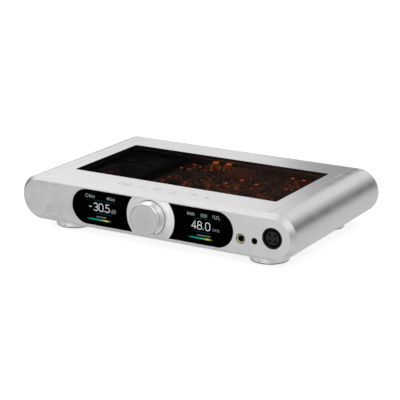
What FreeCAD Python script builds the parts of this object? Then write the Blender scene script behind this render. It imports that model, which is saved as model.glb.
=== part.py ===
import FreeCAD, Part
import math
import os

# Desktop digital-to-analogue converter with headphone outputs, in millimetres.
# +X is to the right seen from the front, +Y runs from the front to the back, +Z is up.
# The origin is the bottom centre of the whole object, on the surface that it stands on.

V = FreeCAD.Vector
X_AXIS = V(1, 0, 0)
Y_AXIS = V(0, 1, 0)
Z_AXIS = V(0, 0, 1)

# ---- driving dimensions ----------------------------------------------------------------
body_width = 329.0
body_depth = 201.0
body_height = 48.6
side_bulge = 23.4          # horizontal half-axis of the rounded side
foot_height = 9.8
foot_radius = 20.5
foot_x = 118.9
foot_depths = (36.3, 165.2)

fascia_depth = 5.7
face_chamfer = 4.4         # height of the sloping border round the front face
groove = 0.4               # small V where two shell pieces meet
rear_thickness = 3.0
rear_chamfer = 0.8
seam_x = 134.2             # the flat plates end here and the side rails begin
top_thickness = 4.0
bottom_thickness = 2.5
rail_wall = 3.2
ledge_reach = 7.0
ledge_thickness = 2.2

window_x = 122.2
window_depths = (42.5, 163.7)
glass_thickness = 2.0
gasket_thickness = 0.4
window_ledge = 3.0
window_corner = 2.0

pill_half_height = 18.95   # the displays are the two ends of one long rounded band
pill_end_x = 96.9
bezel_radius = 28.65
bezel_rise = 0.8
bezel_seat = 1.6           # the bezel is let into the face this far
well_radius = 18.7
well_depth = 3.2
lens_thickness = 2.0
lens_ledge = 2.0

knob_radius = 17.2         # at the front; the knob widens a little towards its base
knob_base_radius = 18.4
knob_reach = 12.1
knob_chamfer = 0.8
knob_front_wall = 3.2
knob_skirt = 0.6
knob_wall = 2.0
hub_radius = 5.5
shaft_radius = 3.0
bush_radius = 4.5

jack_x = 105.2
jack_drop = 5.3            # the two jacks sit below the middle of the face
jack_ring_radius = 5.18
jack_bore_radius = 3.25    # 6.35 mm plug
small_jack_x = 120.7
small_jack_radius = 3.43
small_jack_bore_radius = 2.25   # 4.4 mm plug
xlr4_x = 140.2
xlr4_rise = 0.5            # its centre is just above the middle of the face
xlr4_radius = 11.0

rear_reach = 9.0           # RCA barrels stand this far behind the rear panel
xlr_out_xs = (112.0, 84.0)
rca_x = 57.0
coax_x = 38.0
aes_x = 12.0
digital_x = -14.0
trigger_x = -34.0
stack_offset = 10.5        # stacked sockets sit this far above and below the middle
flange_thickness = 2.0
inlet_x = -90.0
rocker_x = -117.0

board_thickness = 1.6
standoff_height = 6.0

# ---- derived planes --------------------------------------------------------------------
front_y = knob_reach - (knob_reach + body_depth + rear_reach) / 2
back_y = front_y + body_depth
fascia_back = front_y + fascia_depth
rear_inner = back_y - rear_thickness
mid_z = foot_height + body_height / 2
top_z = foot_height + body_height
top_inner = top_z - top_thickness
bottom_inner = foot_height + bottom_thickness
jack_z = mid_z - jack_drop
xlr4_z = mid_z + xlr4_rise
board_z = bottom_inner + standoff_height
board_top = board_z + board_thickness
front_board_y = fascia_back + 7.0
gap = 0.15                 # clearance round loose pieces


# ---- small helpers ---------------------------------------------------------------------
def box(x0, x1, y0, y1, z0, z1):
    return Part.makeBox(x1 - x0, y1 - y0, z1 - z0, V(x0, y0, z0))


def block(x, z, width, height, y0, y1):
    """A box centred on x and z that runs from y0 to y1."""
    return box(x - width / 2, x + width / 2, y0, y1, z - height / 2, z + height / 2)


def rod_y(x, z, radius, y0, y1):
    return Part.makeCylinder(radius, y1 - y0, V(x, y0, z), Y_AXIS)


def rod_z(x, y, radius, z0, z1):
    return Part.makeCylinder(radius, z1 - z0, V(x, y, z0), Z_AXIS)


def rod_x(y, z, radius, x0, x1):
    return Part.makeCylinder(radius, x1 - x0, V(x0, y, z), X_AXIS)


def tube_y(x, z, outer, inner, y0, y1):
    return rod_y(x, z, outer, y0, y1).cut(rod_y(x, z, inner, y0 - 1, y1 + 1))


def fused(shapes):
    first = shapes[0]
    return first.fuse(shapes[1:]).removeSplitter() if len(shapes) > 1 else first


def mirrored(shape):
    return shape.mirror(V(0, 0, 0), X_AXIS)


def rounded_box(x0, x1, y0, y1, z0, z1, radius):
    """A box whose four upright edges are rounded."""
    solid = box(x0, x1, y0, y1, z0, z1)
    upright = [e for e in solid.Edges if abs(e.tangentAt(e.FirstParameter).z) > 0.9]
    return solid.makeFillet(radius, upright)


def save(node, *shapes):
    shape = shapes[0] if len(shapes) == 1 else Part.makeCompound(list(shapes))
    shape.exportStep("parts/" + node + ".step")


# ---- the body's rounded outline --------------------------------------------------------
def half_end(side, inset, y):
    centre = V(side * (body_width / 2 - side_bulge), y, mid_z)
    high = centre + V(0, 0, body_height / 2 - inset)
    out = centre + V(side * (side_bulge - inset), 0, 0)
    ellipse = Part.Ellipse(high, out, centre)
    return Part.Arc(ellipse, 0, math.pi).toShape()


def outline(inset, y):
    right = half_end(1, inset, y)
    left = half_end(-1, inset, y)
    shoulder = body_width / 2 - side_bulge
    reach = body_height / 2 - inset
    lines = []
    for z in (mid_z - reach, mid_z + reach):
        lines.append(Part.LineSegment(V(-shoulder, y, z), V(shoulder, y, z)).toShape())
    return Part.Wire(Part.__sortEdges__([right, left] + lines))


def body_slice(stations):
    """A solid through the outline at each (y, inset)."""
    return Part.makeLoft([outline(inset, y) for y, inset in stations], True, True)


def middle_block():
    return body_slice([(fascia_back, groove), (fascia_back + groove, 0),
                       (rear_inner - groove, 0), (rear_inner, groove)])


def seam_groove(side):
    x = side * seam_x
    points = [V(x - groove, fascia_back - 1, top_z), V(x + groove, fascia_back - 1, top_z),
              V(x, fascia_back - 1, top_z - groove)]
    face = Part.Face(Part.makePolygon(points + points[:1]))
    return face.extrude(V(0, body_depth, 0))


# ---- positions of fasteners ------------------------------------------------------------
ledge_screw_x = seam_x - ledge_reach / 2
ledge_screw_depths = (12.0, 72.0, 130.0, 190.0)
ledge_screws = [(side * ledge_screw_x, front_y + d) for side in (-1, 1) for d in ledge_screw_depths]
lug_xs = (-112.0, -10.0, 10.0, 112.0)
lug_width = 12.0
lug_height = 5.5
lug_screw_depth = 4.5
lug_screws = [(x, fascia_back + lug_screw_depth) for x in lug_xs]
feet = [(side * foot_x, front_y + d) for side in (-1, 1) for d in foot_depths]
boss_x = 150.0
boss_rise = 16.5
boss_radius = 4.2
boss_length = 24.0
bosses = [(boss_x, mid_z - boss_rise), (boss_x, mid_z + boss_rise)]
small_screw = 1.2
small_head = 2.3
boss_screw = 1.5
main_holes = [(x, front_y + d) for x in (-48.0, 35.0, 108.0) for d in (50.0, 160.0)]
power_holes = [(x, front_y + d) for x in (-120.0, -66.0) for d in (68.0, 150.0)]
xlr_flange_offset = (9.5, 12.0)
flange_hole = 1.3
xlr_barrel = 11.8
phono_body = 5.0
trigger_nose = 3.0


# ---- front fascia ----------------------------------------------------------------------
def pill_face(inset, y):
    """The right-hand display's outline: a half-round outer end and a concave inner end."""
    half = pill_half_height - inset
    round_x = pill_end_x - pill_half_height
    radius = bezel_radius + inset
    inner_x = math.sqrt(radius ** 2 - half ** 2)
    low = V(inner_x, y, mid_z - half)
    high = V(inner_x, y, mid_z + half)
    low_out = V(round_x, y, mid_z - half)
    high_out = V(round_x, y, mid_z + half)
    edges = [
        Part.Arc(high, V(radius, y, mid_z), low).toShape(),
        Part.LineSegment(low, low_out).toShape(),
        Part.Arc(low_out, V(round_x + half, y, mid_z), high_out).toShape(),
        Part.LineSegment(high_out, high).toShape(),
    ]
    return Part.Face(Part.Wire(edges))


def pill(inset, y0, y1):
    return pill_face(inset, y0).extrude(V(0, y1 - y0, 0))


def bezel_band(y0, y1):
    band = block(0, mid_z, 2 * bezel_radius + 2, 2 * pill_half_height, y0, y1)
    return rod_y(0, mid_z, bezel_radius, y0, y1).common(band)


def front_fascia():
    plate = body_slice([(front_y, face_chamfer), (fascia_back - groove, 0), (fascia_back, groove)])
    lugs = [box(x - lug_width / 2, x + lug_width / 2, fascia_back - 1, fascia_back + 2 * lug_screw_depth,
                bottom_inner, bottom_inner + lug_height) for x in lug_xs]
    plate = plate.fuse(lugs)
    cuts = [bezel_band(front_y - 1, front_y + bezel_seat)]
    cuts.append(rod_y(0, mid_z, well_radius, front_y - 1, front_y + well_depth))
    cuts.append(rod_y(0, mid_z, bush_radius + 0.1, front_y, fascia_back + 1))
    for turn in (lambda s: s, mirrored):
        cuts.append(turn(pill(0, front_y - 1, front_y + lens_thickness)))
        cuts.append(turn(pill(lens_ledge, front_y, fascia_back + 1)))
    cuts.append(rod_y(jack_x, jack_z, jack_ring_radius + 0.02, front_y - 1, fascia_back + 1))
    cuts.append(rod_y(small_jack_x, jack_z, small_jack_radius, front_y - 1, fascia_back + 1))
    cuts.append(rod_y(xlr4_x, xlr4_z, xlr4_radius + 0.02, front_y - 1, fascia_back + 1))
    for x, y in lug_screws:
        cuts.append(rod_z(x, y, small_screw, bottom_inner - 1, bottom_inner + 4.5))
    return plate.cut(cuts)


def knob_bezel():
    """A low cone round the knob, cut off level with the displays' top and bottom."""
    disc = rod_y(0, mid_z, bezel_radius, front_y, front_y + bezel_seat)
    cone = Part.makeCone(bezel_radius, well_radius, bezel_rise, V(0, front_y, mid_z), V(0, -1, 0))
    hole = rod_y(0, mid_z, well_radius, front_y - 5, front_y + 5)
    band = block(0, mid_z, 2 * bezel_radius + 2, 2 * pill_half_height, front_y - 5, front_y + 5)
    return disc.fuse(cone).cut(hole).common(band)


# ---- shell -----------------------------------------------------------------------------
def side_rail():
    outer = middle_block().common(box(seam_x, body_width, front_y, back_y, 0, 2 * top_z))
    rail = outer.cut(body_slice([(front_y, rail_wall), (back_y, rail_wall)]))
    root = seam_x + 5
    for z0, z1, join0, join1 in (
        (top_inner - ledge_thickness, top_inner, top_inner - ledge_thickness, top_z - 1),
        (bottom_inner, bottom_inner + ledge_thickness, foot_height + 1, bottom_inner + ledge_thickness),
    ):
        ledge = box(seam_x - ledge_reach, root, fascia_back + 0.5, rear_inner - 0.5, z0, z1)
        rib = box(seam_x, root, fascia_back + 0.5, rear_inner - 0.5, join0, join1)
        rail = rail.fuse([ledge, rib])
    shell = body_slice([(fascia_back + 0.5, 1), (rear_inner, 1)])
    for x, z in bosses:
        boss = rod_y(x, z, boss_radius, rear_inner - boss_length, rear_inner).common(shell)
        rail = rail.fuse(boss).cut(rod_y(x, z, boss_screw, rear_inner - 14, rear_inner + 1))
    for x, y in ledge_screws:
        if x > 0:
            rail = rail.cut(rod_z(x, y, small_screw + 0.1, foot_height - 1, top_z - 2))
    return rail.cut(seam_groove(1)).removeSplitter()


def top_plate():
    slab = box(-seam_x, seam_x, front_y, back_y, top_inner, top_z + 1).common(middle_block())
    d0, d1 = window_depths
    pocket = rounded_box(-window_x, window_x, front_y + d0, front_y + d1,
                         top_z - glass_thickness - gasket_thickness, top_z + 1, window_corner)
    hole = rounded_box(-window_x + window_ledge, window_x - window_ledge,
                       front_y + d0 + window_ledge, front_y + d1 - window_ledge,
                       top_inner - 1, top_z, window_corner)
    screws = [rod_z(x, y, small_screw, top_inner - 1, top_inner + 2.6) for x, y in ledge_screws]
    return slab.cut([pocket, hole, seam_groove(1), seam_groove(-1)] + screws)


def window_glass():
    d0, d1 = window_depths
    glass = rounded_box(-window_x + gap, window_x - gap, front_y + d0 + gap, front_y + d1 - gap,
                        top_z - glass_thickness, top_z, window_corner)
    rim = [e for e in glass.Edges if min(v.Z for v in e.Vertexes) > top_z - 0.01]
    return glass.makeChamfer(0.2, rim)


def window_gasket():
    d0, d1 = window_depths
    low = top_z - glass_thickness - gasket_thickness
    high = top_z - glass_thickness
    outer = rounded_box(-window_x + gap, window_x - gap, front_y + d0 + gap, front_y + d1 - gap,
                        low, high, window_corner)
    inset = window_ledge - 0.5
    inner = rounded_box(-window_x + inset, window_x - inset, front_y + d0 + inset, front_y + d1 - inset,
                        low - 1, high + 1, 1)
    return outer.cut(inner)


vent_rows = 5
vent_columns = 14
vent_pitch = 11.0
vent_length = 8.0
vent_width = 2.4


def vent_slot(x, y):
    return rounded_box(x - vent_length / 2, x + vent_length / 2, y - vent_width / 2, y + vent_width / 2,
                       foot_height - 1, bottom_inner + 1, vent_width / 2 - 0.1)


def bottom_plate():
    plate = box(-seam_x + 0.1, seam_x - 0.1, fascia_back, rear_inner, foot_height, bottom_inner)
    cuts = [rod_z(x, y, 1.9, foot_height - 1, bottom_inner + 1) for x, y in feet]
    for x, y in ledge_screws + lug_screws:
        cuts.append(rod_z(x, y, small_screw + 0.1, foot_height - 1, bottom_inner + 1))
        cuts.append(rod_z(x, y, small_head + 0.1, foot_height - 1, foot_height + 1.3))
    for x, y in main_holes + power_holes:
        cuts.append(rod_z(x, y, 1.2, foot_height - 1, bottom_inner + 1))
    for row in range(vent_rows):
        for column in range(vent_columns):
            x = (column - (vent_columns - 1) / 2) * vent_pitch
            y = front_y + body_depth / 2 + (row - (vent_rows - 1) / 2) * vent_pitch
            cuts.append(vent_slot(x, y))
    return plate.cut(cuts)


def rear_panel():
    plate = body_slice([(rear_inner, groove), (rear_inner + groove, 0), (back_y - rear_chamfer, 0),
                        (back_y, rear_chamfer)])
    through = (rear_inner - 1, back_y + 1)
    cuts = []
    for x in xlr_out_xs + (aes_x,):
        cuts.append(rod_y(x, mid_z, xlr_barrel + 0.1, *through))
        for px, pz in flange_screw_places(x):
            cuts.append(rod_y(px, pz, flange_hole, *through))
    for x, z in phono_places():
        cuts.append(rod_y(x, z, phono_body + 0.1, *through))
    for x, z in trigger_places():
        cuts.append(rod_y(x, z, trigger_nose + 0.1, *through))
    cuts.append(block(digital_x, mid_z - stack_offset, 12.2, 11.2, *through))
    cuts.append(block(digital_x, mid_z + stack_offset, optical_width + 0.2, optical_width + 0.2, *through))
    cuts.append(box(inlet_left + 2, inlet_right - 2, *through, mid_z - 13.5, mid_z + 13.5))
    for side in (-1, 1):
        for x, z in bosses:
            cuts.append(rod_y(side * x, z, boss_screw + 0.1, *through))
            cuts.append(rod_y(side * x, z, 2.9, back_y - 1.8, back_y + 1))
    return plate.cut(cuts)


# ---- feet ------------------------------------------------------------------------------
pad_height = 0.9
pad_inner_radius = 17.5
pad_plug = 1.4             # the pad's middle reaches this far up into the foot
foot_chamfer = 0.5
foot_bore = 4.2
foot_bore_height = 5.0
foot_screw_radius = 1.85
foot_screw_head = 3.6
foot_screw_low = 2.8


def foot_cup(x, y):
    cup = rod_z(x, y, foot_radius, pad_height, foot_height)
    rim = [e for e in cup.Edges if e.BoundBox.ZMax < pad_height + 0.01]
    cup = cup.makeChamfer(foot_chamfer, rim)
    recess = rod_z(x, y, pad_inner_radius + 0.1, 0, pad_height + pad_plug)
    counterbore = rod_z(x, y, foot_bore, 0, foot_bore_height)
    hole = rod_z(x, y, foot_screw_radius + 0.35, 0, foot_height + 1)
    return cup.cut([recess, counterbore, hole])


def foot_pad(x, y):
    disc = rod_z(x, y, foot_radius - 0.6, 0, pad_height)
    rim = [e for e in disc.Edges if e.BoundBox.ZMax < 0.01]
    disc = disc.makeFillet(0.35, rim)
    plug = rod_z(x, y, pad_inner_radius, pad_height - 0.1, pad_height + pad_plug)
    return disc.fuse(plug).cut(rod_z(x, y, foot_bore, -1, foot_bore_height)).removeSplitter()


def foot_screw(x, y):
    head = rod_z(x, y, foot_screw_head, foot_screw_low, foot_bore_height)
    head = head.cut(hex_socket(x, y, 2.0, foot_screw_low, foot_screw_low + 1.4))
    return head.fuse(rod_z(x, y, foot_screw_radius, foot_bore_height, bottom_inner + 0.6))


def hex_socket(x, y, radius, z0, z1):
    corners = []
    for i in range(7):
        angle = math.radians(60 * i)
        corners.append(V(x + radius * math.cos(angle), y + radius * math.sin(angle), z0 - 0.5))
    return Part.Face(Part.makePolygon(corners)).extrude(V(0, 0, z1 - z0 + 0.5))


# ---- screws ----------------------------------------------------------------------------
pan_head = 2.6
pan_height = 1.8
cap_height = 1.4
bottom_cap_height = 1.2
sunk_head = 2.7
flange_screw = 1.25
flange_head = 2.3


def screw_up(x, y, z_head, head_height, z_tip):
    """A small screw whose head is below its shank, driven upwards."""
    head = rod_z(x, y, small_head, z_head, z_head + head_height)
    head = head.cut(hex_socket(x, y, small_head * 0.5, z_head, z_head + head_height * 0.6))
    return head.fuse(rod_z(x, y, small_screw - 0.05, z_head + head_height, z_tip))


def top_screw(x, y):
    return screw_up(x, y, top_inner - ledge_thickness - cap_height, cap_height, top_inner + 2.4)


def bottom_screw(x, y):
    return screw_up(x, y, foot_height + 0.1, bottom_cap_height, bottom_inner + 4)


def board_screw(x, y):
    """A pan-head screw driven down through the board into its standoff."""
    head = rod_z(x, y, pan_head, board_top, board_top + pan_height)
    head = head.cut(hex_socket(x, y, pan_head / 2, board_top + pan_height / 2, board_top + pan_height + 1))
    return head.fuse(rod_z(x, y, small_screw - 0.05, board_z - 4, board_top))


def screw_in(x, z, y_head, y_seat, y_tip, radius, head_radius):
    """A screw whose head faces the back of the object."""
    head = rod_y(x, z, head_radius, y_seat, y_head)
    slot = block(x, z, head_radius, 0.6, y_head - 0.7, y_head + 1)
    cross = block(x, z, 0.6, head_radius, y_head - 0.7, y_head + 1)
    return head.cut([slot, cross]).fuse(rod_y(x, z, radius - 0.05, y_tip, y_seat))


def rear_panel_screws():
    screws = []
    for side in (-1, 1):
        for x, z in bosses:
            screws.append(screw_in(side * x, z, back_y - 0.3, back_y - 1.8, rear_inner - 12,
                                   boss_screw, sunk_head))
    return screws


def socket_screws():
    screws = []
    for socket_x in xlr_out_xs + (aes_x,):
        for x, z in flange_screw_places(socket_x):
            screws.append(screw_in(x, z, back_y + flange_thickness + 1, back_y + flange_thickness,
                                   rear_inner - 2, flange_screw, flange_head))
    return screws


# ---- displays --------------------------------------------------------------------------
module_xs = (33.0, 89.0)
module_rise = 16.0


def display_lens():
    lens = pill(0.08, front_y, front_y + lens_thickness)
    rim = [e for e in lens.Edges if e.BoundBox.YMax < front_y + 0.01]
    return lens.makeChamfer(0.15, rim)


def display_module():
    """The lit panel behind the lens, with its frame and backlight."""
    panel = pill(lens_ledge + 0.4, front_y + lens_thickness + 0.2, fascia_back)
    frame = box(*module_xs, fascia_back, front_board_y, mid_z - module_rise, mid_z + module_rise)
    return panel.common(box(*module_xs, front_y, back_y, 0, top_z)).fuse(frame).removeSplitter()


def front_board():
    board = box(-pill_end_x, pill_end_x, front_board_y, front_board_y + board_thickness,
                mid_z - module_rise + 0.5, mid_z + module_rise + 0.5)
    return board.cut(rod_y(0, mid_z, 4.0, front_board_y - 1, front_board_y + 3))


# ---- knob and encoder ------------------------------------------------------------------
hub_end = front_y - 3.8    # the knob's hub stops here, clear of the bush
grub_y = front_y - 7.6
grub_radius = 1.55
grub_length = 3.4
flat_depth = 0.8
plunger_radius = 3.6
nut_height = 2.0
nut_radius = 7.0


def shaft_flat(y0, y1):
    """The part of the round shaft that its flat leaves out."""
    return box(-4, 4, y0, y1, mid_z + shaft_radius - flat_depth, mid_z + 5)


def volume_knob():
    y0 = front_y - knob_reach
    y1 = front_y + knob_skirt
    body = Part.makeCone(knob_radius, knob_base_radius, y1 - y0, V(0, y0, mid_z), Y_AXIS)
    rim = [e for e in body.Edges if e.BoundBox.YMax < y0 + 0.01]
    body = body.makeChamfer(knob_chamfer, rim)
    hollow = tube_y(0, mid_z, knob_radius - knob_wall, hub_radius, y0 + knob_front_wall, y1 + 1)
    recess = tube_y(0, mid_z, knob_radius - knob_wall, shaft_radius - 1, hub_end, y1 + 1)
    bore = rod_y(0, mid_z, shaft_radius, y0 + knob_front_wall, y1 + 1)
    bore = bore.cut(shaft_flat(y0, hub_end))
    access = Part.makeCylinder(grub_radius + 0.05, knob_base_radius,
                               V(0, grub_y, mid_z - shaft_radius + 0.2), V(0, 0, -1))
    return body.cut([hollow, recess, bore, access])


def knob_grub_screw():
    top = mid_z - shaft_radius
    pin = Part.makeCylinder(grub_radius, grub_length, V(0, grub_y, top), V(0, 0, -1))
    socket = hex_socket(0, grub_y, grub_radius / 2, top - grub_length, top - grub_length + 1.4)
    return pin.cut(socket)


def encoder_shaft():
    """A D-shaped shaft with a round shank that turns and slides in the bush."""
    shaft = rod_y(0, mid_z, shaft_radius, front_y - knob_reach + knob_front_wall + 0.1, fascia_back + 2.0)
    return shaft.cut(shaft_flat(front_y - 20, hub_end + 0.2))


def encoder_body():
    """The housing behind the face, with the threaded bush that passes through it."""
    case = block(0, mid_z, 14, 14, fascia_back, front_board_y)
    bush = rod_y(0, mid_z, bush_radius, front_y - 0.5, fascia_back)
    bore = rod_y(0, mid_z, shaft_radius + 0.05, front_y - 2, fascia_back + 2.6)
    well = rod_y(0, mid_z, plunger_radius + 0.6, fascia_back + 2.2, front_board_y + 1)
    return case.fuse(bush).cut([bore, well])


def encoder_plunger():
    """The push contact's slider, behind the shaft's end."""
    return rod_y(0, mid_z, plunger_radius, fascia_back + 2.3, fascia_back + 5.3)


def encoder_nut():
    y1 = front_y + well_depth
    y0 = y1 - nut_height
    corners = []
    for i in range(7):
        angle = math.radians(60 * i)
        corners.append(V(nut_radius * math.cos(angle), y0, mid_z + nut_radius * math.sin(angle)))
    hexagon = Part.Face(Part.makePolygon(corners)).extrude(V(0, nut_height, 0))
    return hexagon.cut(rod_y(0, mid_z, bush_radius + 0.02, y0 - 1, y1 + 1))


# ---- headphone sockets -----------------------------------------------------------------
jack_case = 14.0
jack_length = 30.0
small_jack_case = (8.6, 11.0)
small_jack_length = 22.0
jack_end_wall = 4.0


def headphone_jack():
    case = block(jack_x, jack_z, jack_case, jack_case, fascia_back, fascia_back + jack_length)
    nose = rod_y(jack_x, jack_z, jack_ring_radius - 0.85, front_y + 0.9, fascia_back + 1)
    bore = rod_y(jack_x, jack_z, jack_bore_radius, front_y - 1, fascia_back + jack_length - jack_end_wall)
    return case.fuse(nose).cut(bore)


def headphone_jack_ring():
    ring = tube_y(jack_x, jack_z, jack_ring_radius, jack_ring_radius - 0.8, front_y, fascia_back)
    lip = tube_y(jack_x, jack_z, jack_ring_radius - 0.4, jack_bore_radius + 0.05, front_y, front_y + 0.85)
    bevel = Part.makeCone(jack_ring_radius - 0.3, jack_bore_radius - 0.3, 1.2,
                          V(jack_x, front_y - 0.2, jack_z), Y_AXIS)
    return fused([ring, lip]).cut(bevel)


def balanced_jack():
    case = block(small_jack_x, jack_z, *small_jack_case, fascia_back, fascia_back + small_jack_length)
    nose = rod_y(small_jack_x, jack_z, small_jack_radius - 0.03, front_y + 0.5, fascia_back + 1)
    bore_end = fascia_back + small_jack_length - jack_end_wall
    bore = rod_y(small_jack_x, jack_z, small_jack_bore_radius, front_y - 1, bore_end)
    return case.fuse(nose).cut(bore)


insert_radius = 7.9
shell_bore = 9.45
xlr_depth = 16.0
pin_circle = 4.4
xlr4_angles = (45, 135, 225, 315)
pin_radius = 1.2
pin_hole = 1.3
pin_hole_depth = 12.0


def xlr4_shell():
    shell = rod_y(xlr4_x, xlr4_z, xlr4_radius, front_y + 0.2, front_y + xlr_depth + 6)
    return shell.cut(rod_y(xlr4_x, xlr4_z, shell_bore, front_y - 1, front_y + xlr_depth))


def pin_places(x, z, angles):
    places = []
    for angle in angles:
        turn = math.radians(angle)
        places.append((x + pin_circle * math.cos(turn), z + pin_circle * math.sin(turn)))
    return places


def xlr4_insert():
    body = rod_y(xlr4_x, xlr4_z, insert_radius, front_y + 0.8, front_y + xlr_depth)
    holes = [rod_y(x, z, pin_hole, front_y, front_y + pin_hole_depth)
             for x, z in pin_places(xlr4_x, xlr4_z, xlr4_angles)]
    key = block(xlr4_x, xlr4_z + insert_radius - 0.6, 2.4, 1.6, front_y, front_y + 10)
    return body.cut(holes + [key])


def xlr4_contacts():
    contacts = []
    for x, z in pin_places(xlr4_x, xlr4_z, xlr4_angles):
        contacts.append(tube_y(x, z, pin_hole - 0.05, 0.95, front_y + 4, front_y + pin_hole_depth))
    return contacts


# ---- rear sockets ----------------------------------------------------------------------
xlr_angles = (30, 150, 270)
flange_width = 26.0
flange_height = 31.0
inlet_left = -129.0
inlet_right = -71.0
inlet_opening = (24.6, 16.6)
inlet_rise = 4.2
inlet_depth = 17.0
inlet_case_depth = 19.0
drawer_width = 24.0
drawer_height = 6.6
drawer_drop = 10.0
drawer_depth = 16.0
rocker_width = 12.0
rocker_swing = 9.0
rocker_radius = 9.6
rocker_pivot_y = back_y - 0.6


def phono_places():
    return [(rca_x, mid_z + stack_offset), (rca_x, mid_z - stack_offset), (coax_x, mid_z + stack_offset)]


def trigger_places():
    return [(trigger_x, mid_z + stack_offset), (trigger_x, mid_z - stack_offset)]


def xlr_flange(x):
    plate = block(x, mid_z, flange_width, flange_height, back_y, back_y + flange_thickness)
    upright = [e for e in plate.Edges if abs(e.tangentAt(e.FirstParameter).y) > 0.9]
    plate = plate.makeFillet(3, upright)
    holes = [rod_y(px, pz, flange_hole, back_y - 1, back_y + 3) for px, pz in flange_screw_places(x)]
    return plate.cut(holes)


def flange_screw_places(x):
    dx, dz = xlr_flange_offset
    return [(x - dx, mid_z - dz), (x + dx, mid_z + dz)]


def xlr_output(x):
    barrel = rod_y(x, mid_z, xlr_barrel, back_y + 0.5 - xlr_depth - 3, back_y + 0.5)
    shell = fused([xlr_flange(x), barrel])
    cavity = rod_y(x, mid_z, shell_bore, back_y + 0.5 - xlr_depth, back_y + 3)
    cavity_pins = [rod_y(px, pz, pin_radius, back_y - xlr_depth - 5, back_y)
                   for px, pz in pin_places(x, mid_z, xlr_angles)]
    return shell.cut([cavity] + cavity_pins)


def xlr_output_pins():
    pins = []
    for x in xlr_out_xs:
        for px, pz in pin_places(x, mid_z, xlr_angles):
            pins.append(rod_y(px, pz, pin_radius, back_y - xlr_depth - 2.5, back_y - 1.5))
    return pins


def aes_shell():
    barrel = rod_y(aes_x, mid_z, xlr_barrel, back_y + 0.5 - xlr_depth - 3, back_y + 0.5)
    shell = fused([xlr_flange(aes_x), barrel])
    return shell.cut(rod_y(aes_x, mid_z, shell_bore, back_y + 0.5 - xlr_depth, back_y + 3))


def aes_insert():
    insert = rod_y(aes_x, mid_z, insert_radius, back_y + 0.5 - xlr_depth, back_y + 1)
    holes = [rod_y(x, z, pin_hole, back_y - pin_hole_depth, back_y + 2)
             for x, z in pin_places(aes_x, mid_z, xlr_angles)]
    return insert.cut(holes)


def phono_socket(x, z):
    flange = rod_y(x, z, 6.2, back_y, back_y + 1.4)
    barrel = rod_y(x, z, 4.15, back_y, back_y + rear_reach)
    body = rod_y(x, z, phono_body, rear_inner - 9, back_y)
    bore = rod_y(x, z, 1.65, back_y - 4, back_y + rear_reach + 1)
    return fused([flange, barrel, body]).cut(bore)


def usb_socket():
    z = mid_z - stack_offset
    can = block(digital_x, z, 12.0, 11.0, rear_inner - 13, back_y + 0.6)
    mouth = block(digital_x, z, 8.6, 7.9, back_y - 11, back_y + 1)
    tongue = block(digital_x, z, 5.6, 3.2, back_y - 12, back_y - 0.6)
    return can.cut(mouth).fuse(tongue)


shutter_z = mid_z + stack_offset + 3.9
shutter_y = back_y + 1.0    # the shutter hangs in the flange, outside the panel
shutter_width = 9.2
shutter_thickness = 0.8
shutter_pin = 0.5
optical_flange = 2.0
optical_width = 12.0
optical_opening = 9.6


def optical_input():
    z = mid_z + stack_offset
    flange = block(digital_x, z, 15.0, 15.0, back_y, back_y + optical_flange)
    case = block(digital_x, z, optical_width, optical_width, rear_inner - 11, back_y).fuse(flange)
    cavity = block(digital_x, z, optical_opening, optical_opening, back_y - 12, back_y + optical_flange + 1)
    reach = shutter_width / 2 + 0.8
    pivot = rod_x(shutter_y, shutter_z, shutter_pin + 0.05, digital_x - reach, digital_x + reach)
    eye = rod_y(digital_x, z, 1.6, back_y - 12.5, back_y - 10.2)
    return case.cut([cavity, pivot]).fuse(eye)


def optical_shutter():
    z = mid_z + stack_offset
    left = digital_x - shutter_width / 2
    right = digital_x + shutter_width / 2
    half = shutter_thickness / 2
    flap = box(left, right, shutter_y - half, shutter_y + half, z - 4.4, shutter_z)
    barrel = rod_x(shutter_y, shutter_z, half, left, right)
    pins = rod_x(shutter_y, shutter_z, shutter_pin, left - 0.7, right + 0.7)
    return fused([flap, barrel, pins])


def trigger_jack(x, z):
    case = block(x, z, 8, 9, rear_inner - 14, rear_inner)
    nose = rod_y(x, z, trigger_nose, rear_inner - 0.5, back_y + 0.8)
    return case.fuse(nose).cut(rod_y(x, z, 1.8, rear_inner - 12, back_y + 2))


def inlet_body():
    """Mains inlet with a fuse drawer under it and a power switch beside it."""
    flange = box(inlet_left, inlet_right, back_y, back_y + 2.4, mid_z - 15.5, mid_z + 15.5)
    upright = [e for e in flange.Edges if abs(e.tangentAt(e.FirstParameter).y) > 0.9]
    flange = flange.makeFillet(2.5, upright)
    case = box(inlet_left + 2.2, inlet_right - 2.2, rear_inner - inlet_case_depth, back_y,
               mid_z - 13.3, mid_z + 13.3)
    width, height = inlet_opening
    socket = block(inlet_x, mid_z + inlet_rise, width, height, back_y - inlet_depth, back_y + 3)
    slanted = [e for e in socket.Edges if abs(e.tangentAt(e.FirstParameter).y) > 0.9
               and e.CenterOfMass.z < mid_z + inlet_rise]
    socket = socket.makeChamfer(4.5, slanted)
    drawer = block(inlet_x, mid_z - drawer_drop, drawer_width + 0.4, drawer_height + 0.4,
                   back_y - drawer_depth - 0.5, back_y + 3)
    switch = block(rocker_x, mid_z, rocker_width + 0.8, 2 * rocker_radius + 0.8, back_y - 12, back_y + 3)
    reach = rocker_width / 2 + 1.6
    pivots = rod_x(rocker_pivot_y, mid_z, 1.05, rocker_x - reach, rocker_x + reach)
    return flange.fuse(case).cut([socket, drawer, switch, pivots] + inlet_blades())


def inlet_blades():
    """Three flat blades: earth above, line and neutral either side."""
    z = mid_z + inlet_rise
    y0 = rear_inner - 23
    y1 = back_y - 2
    blades = []
    for x, rise in ((0, 3.6), (-7.0, -0.4), (7.0, -0.4)):
        blades.append(block(inlet_x + x, z + rise, 2.0, 4.0, y0, y1))
    return blades


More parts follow.
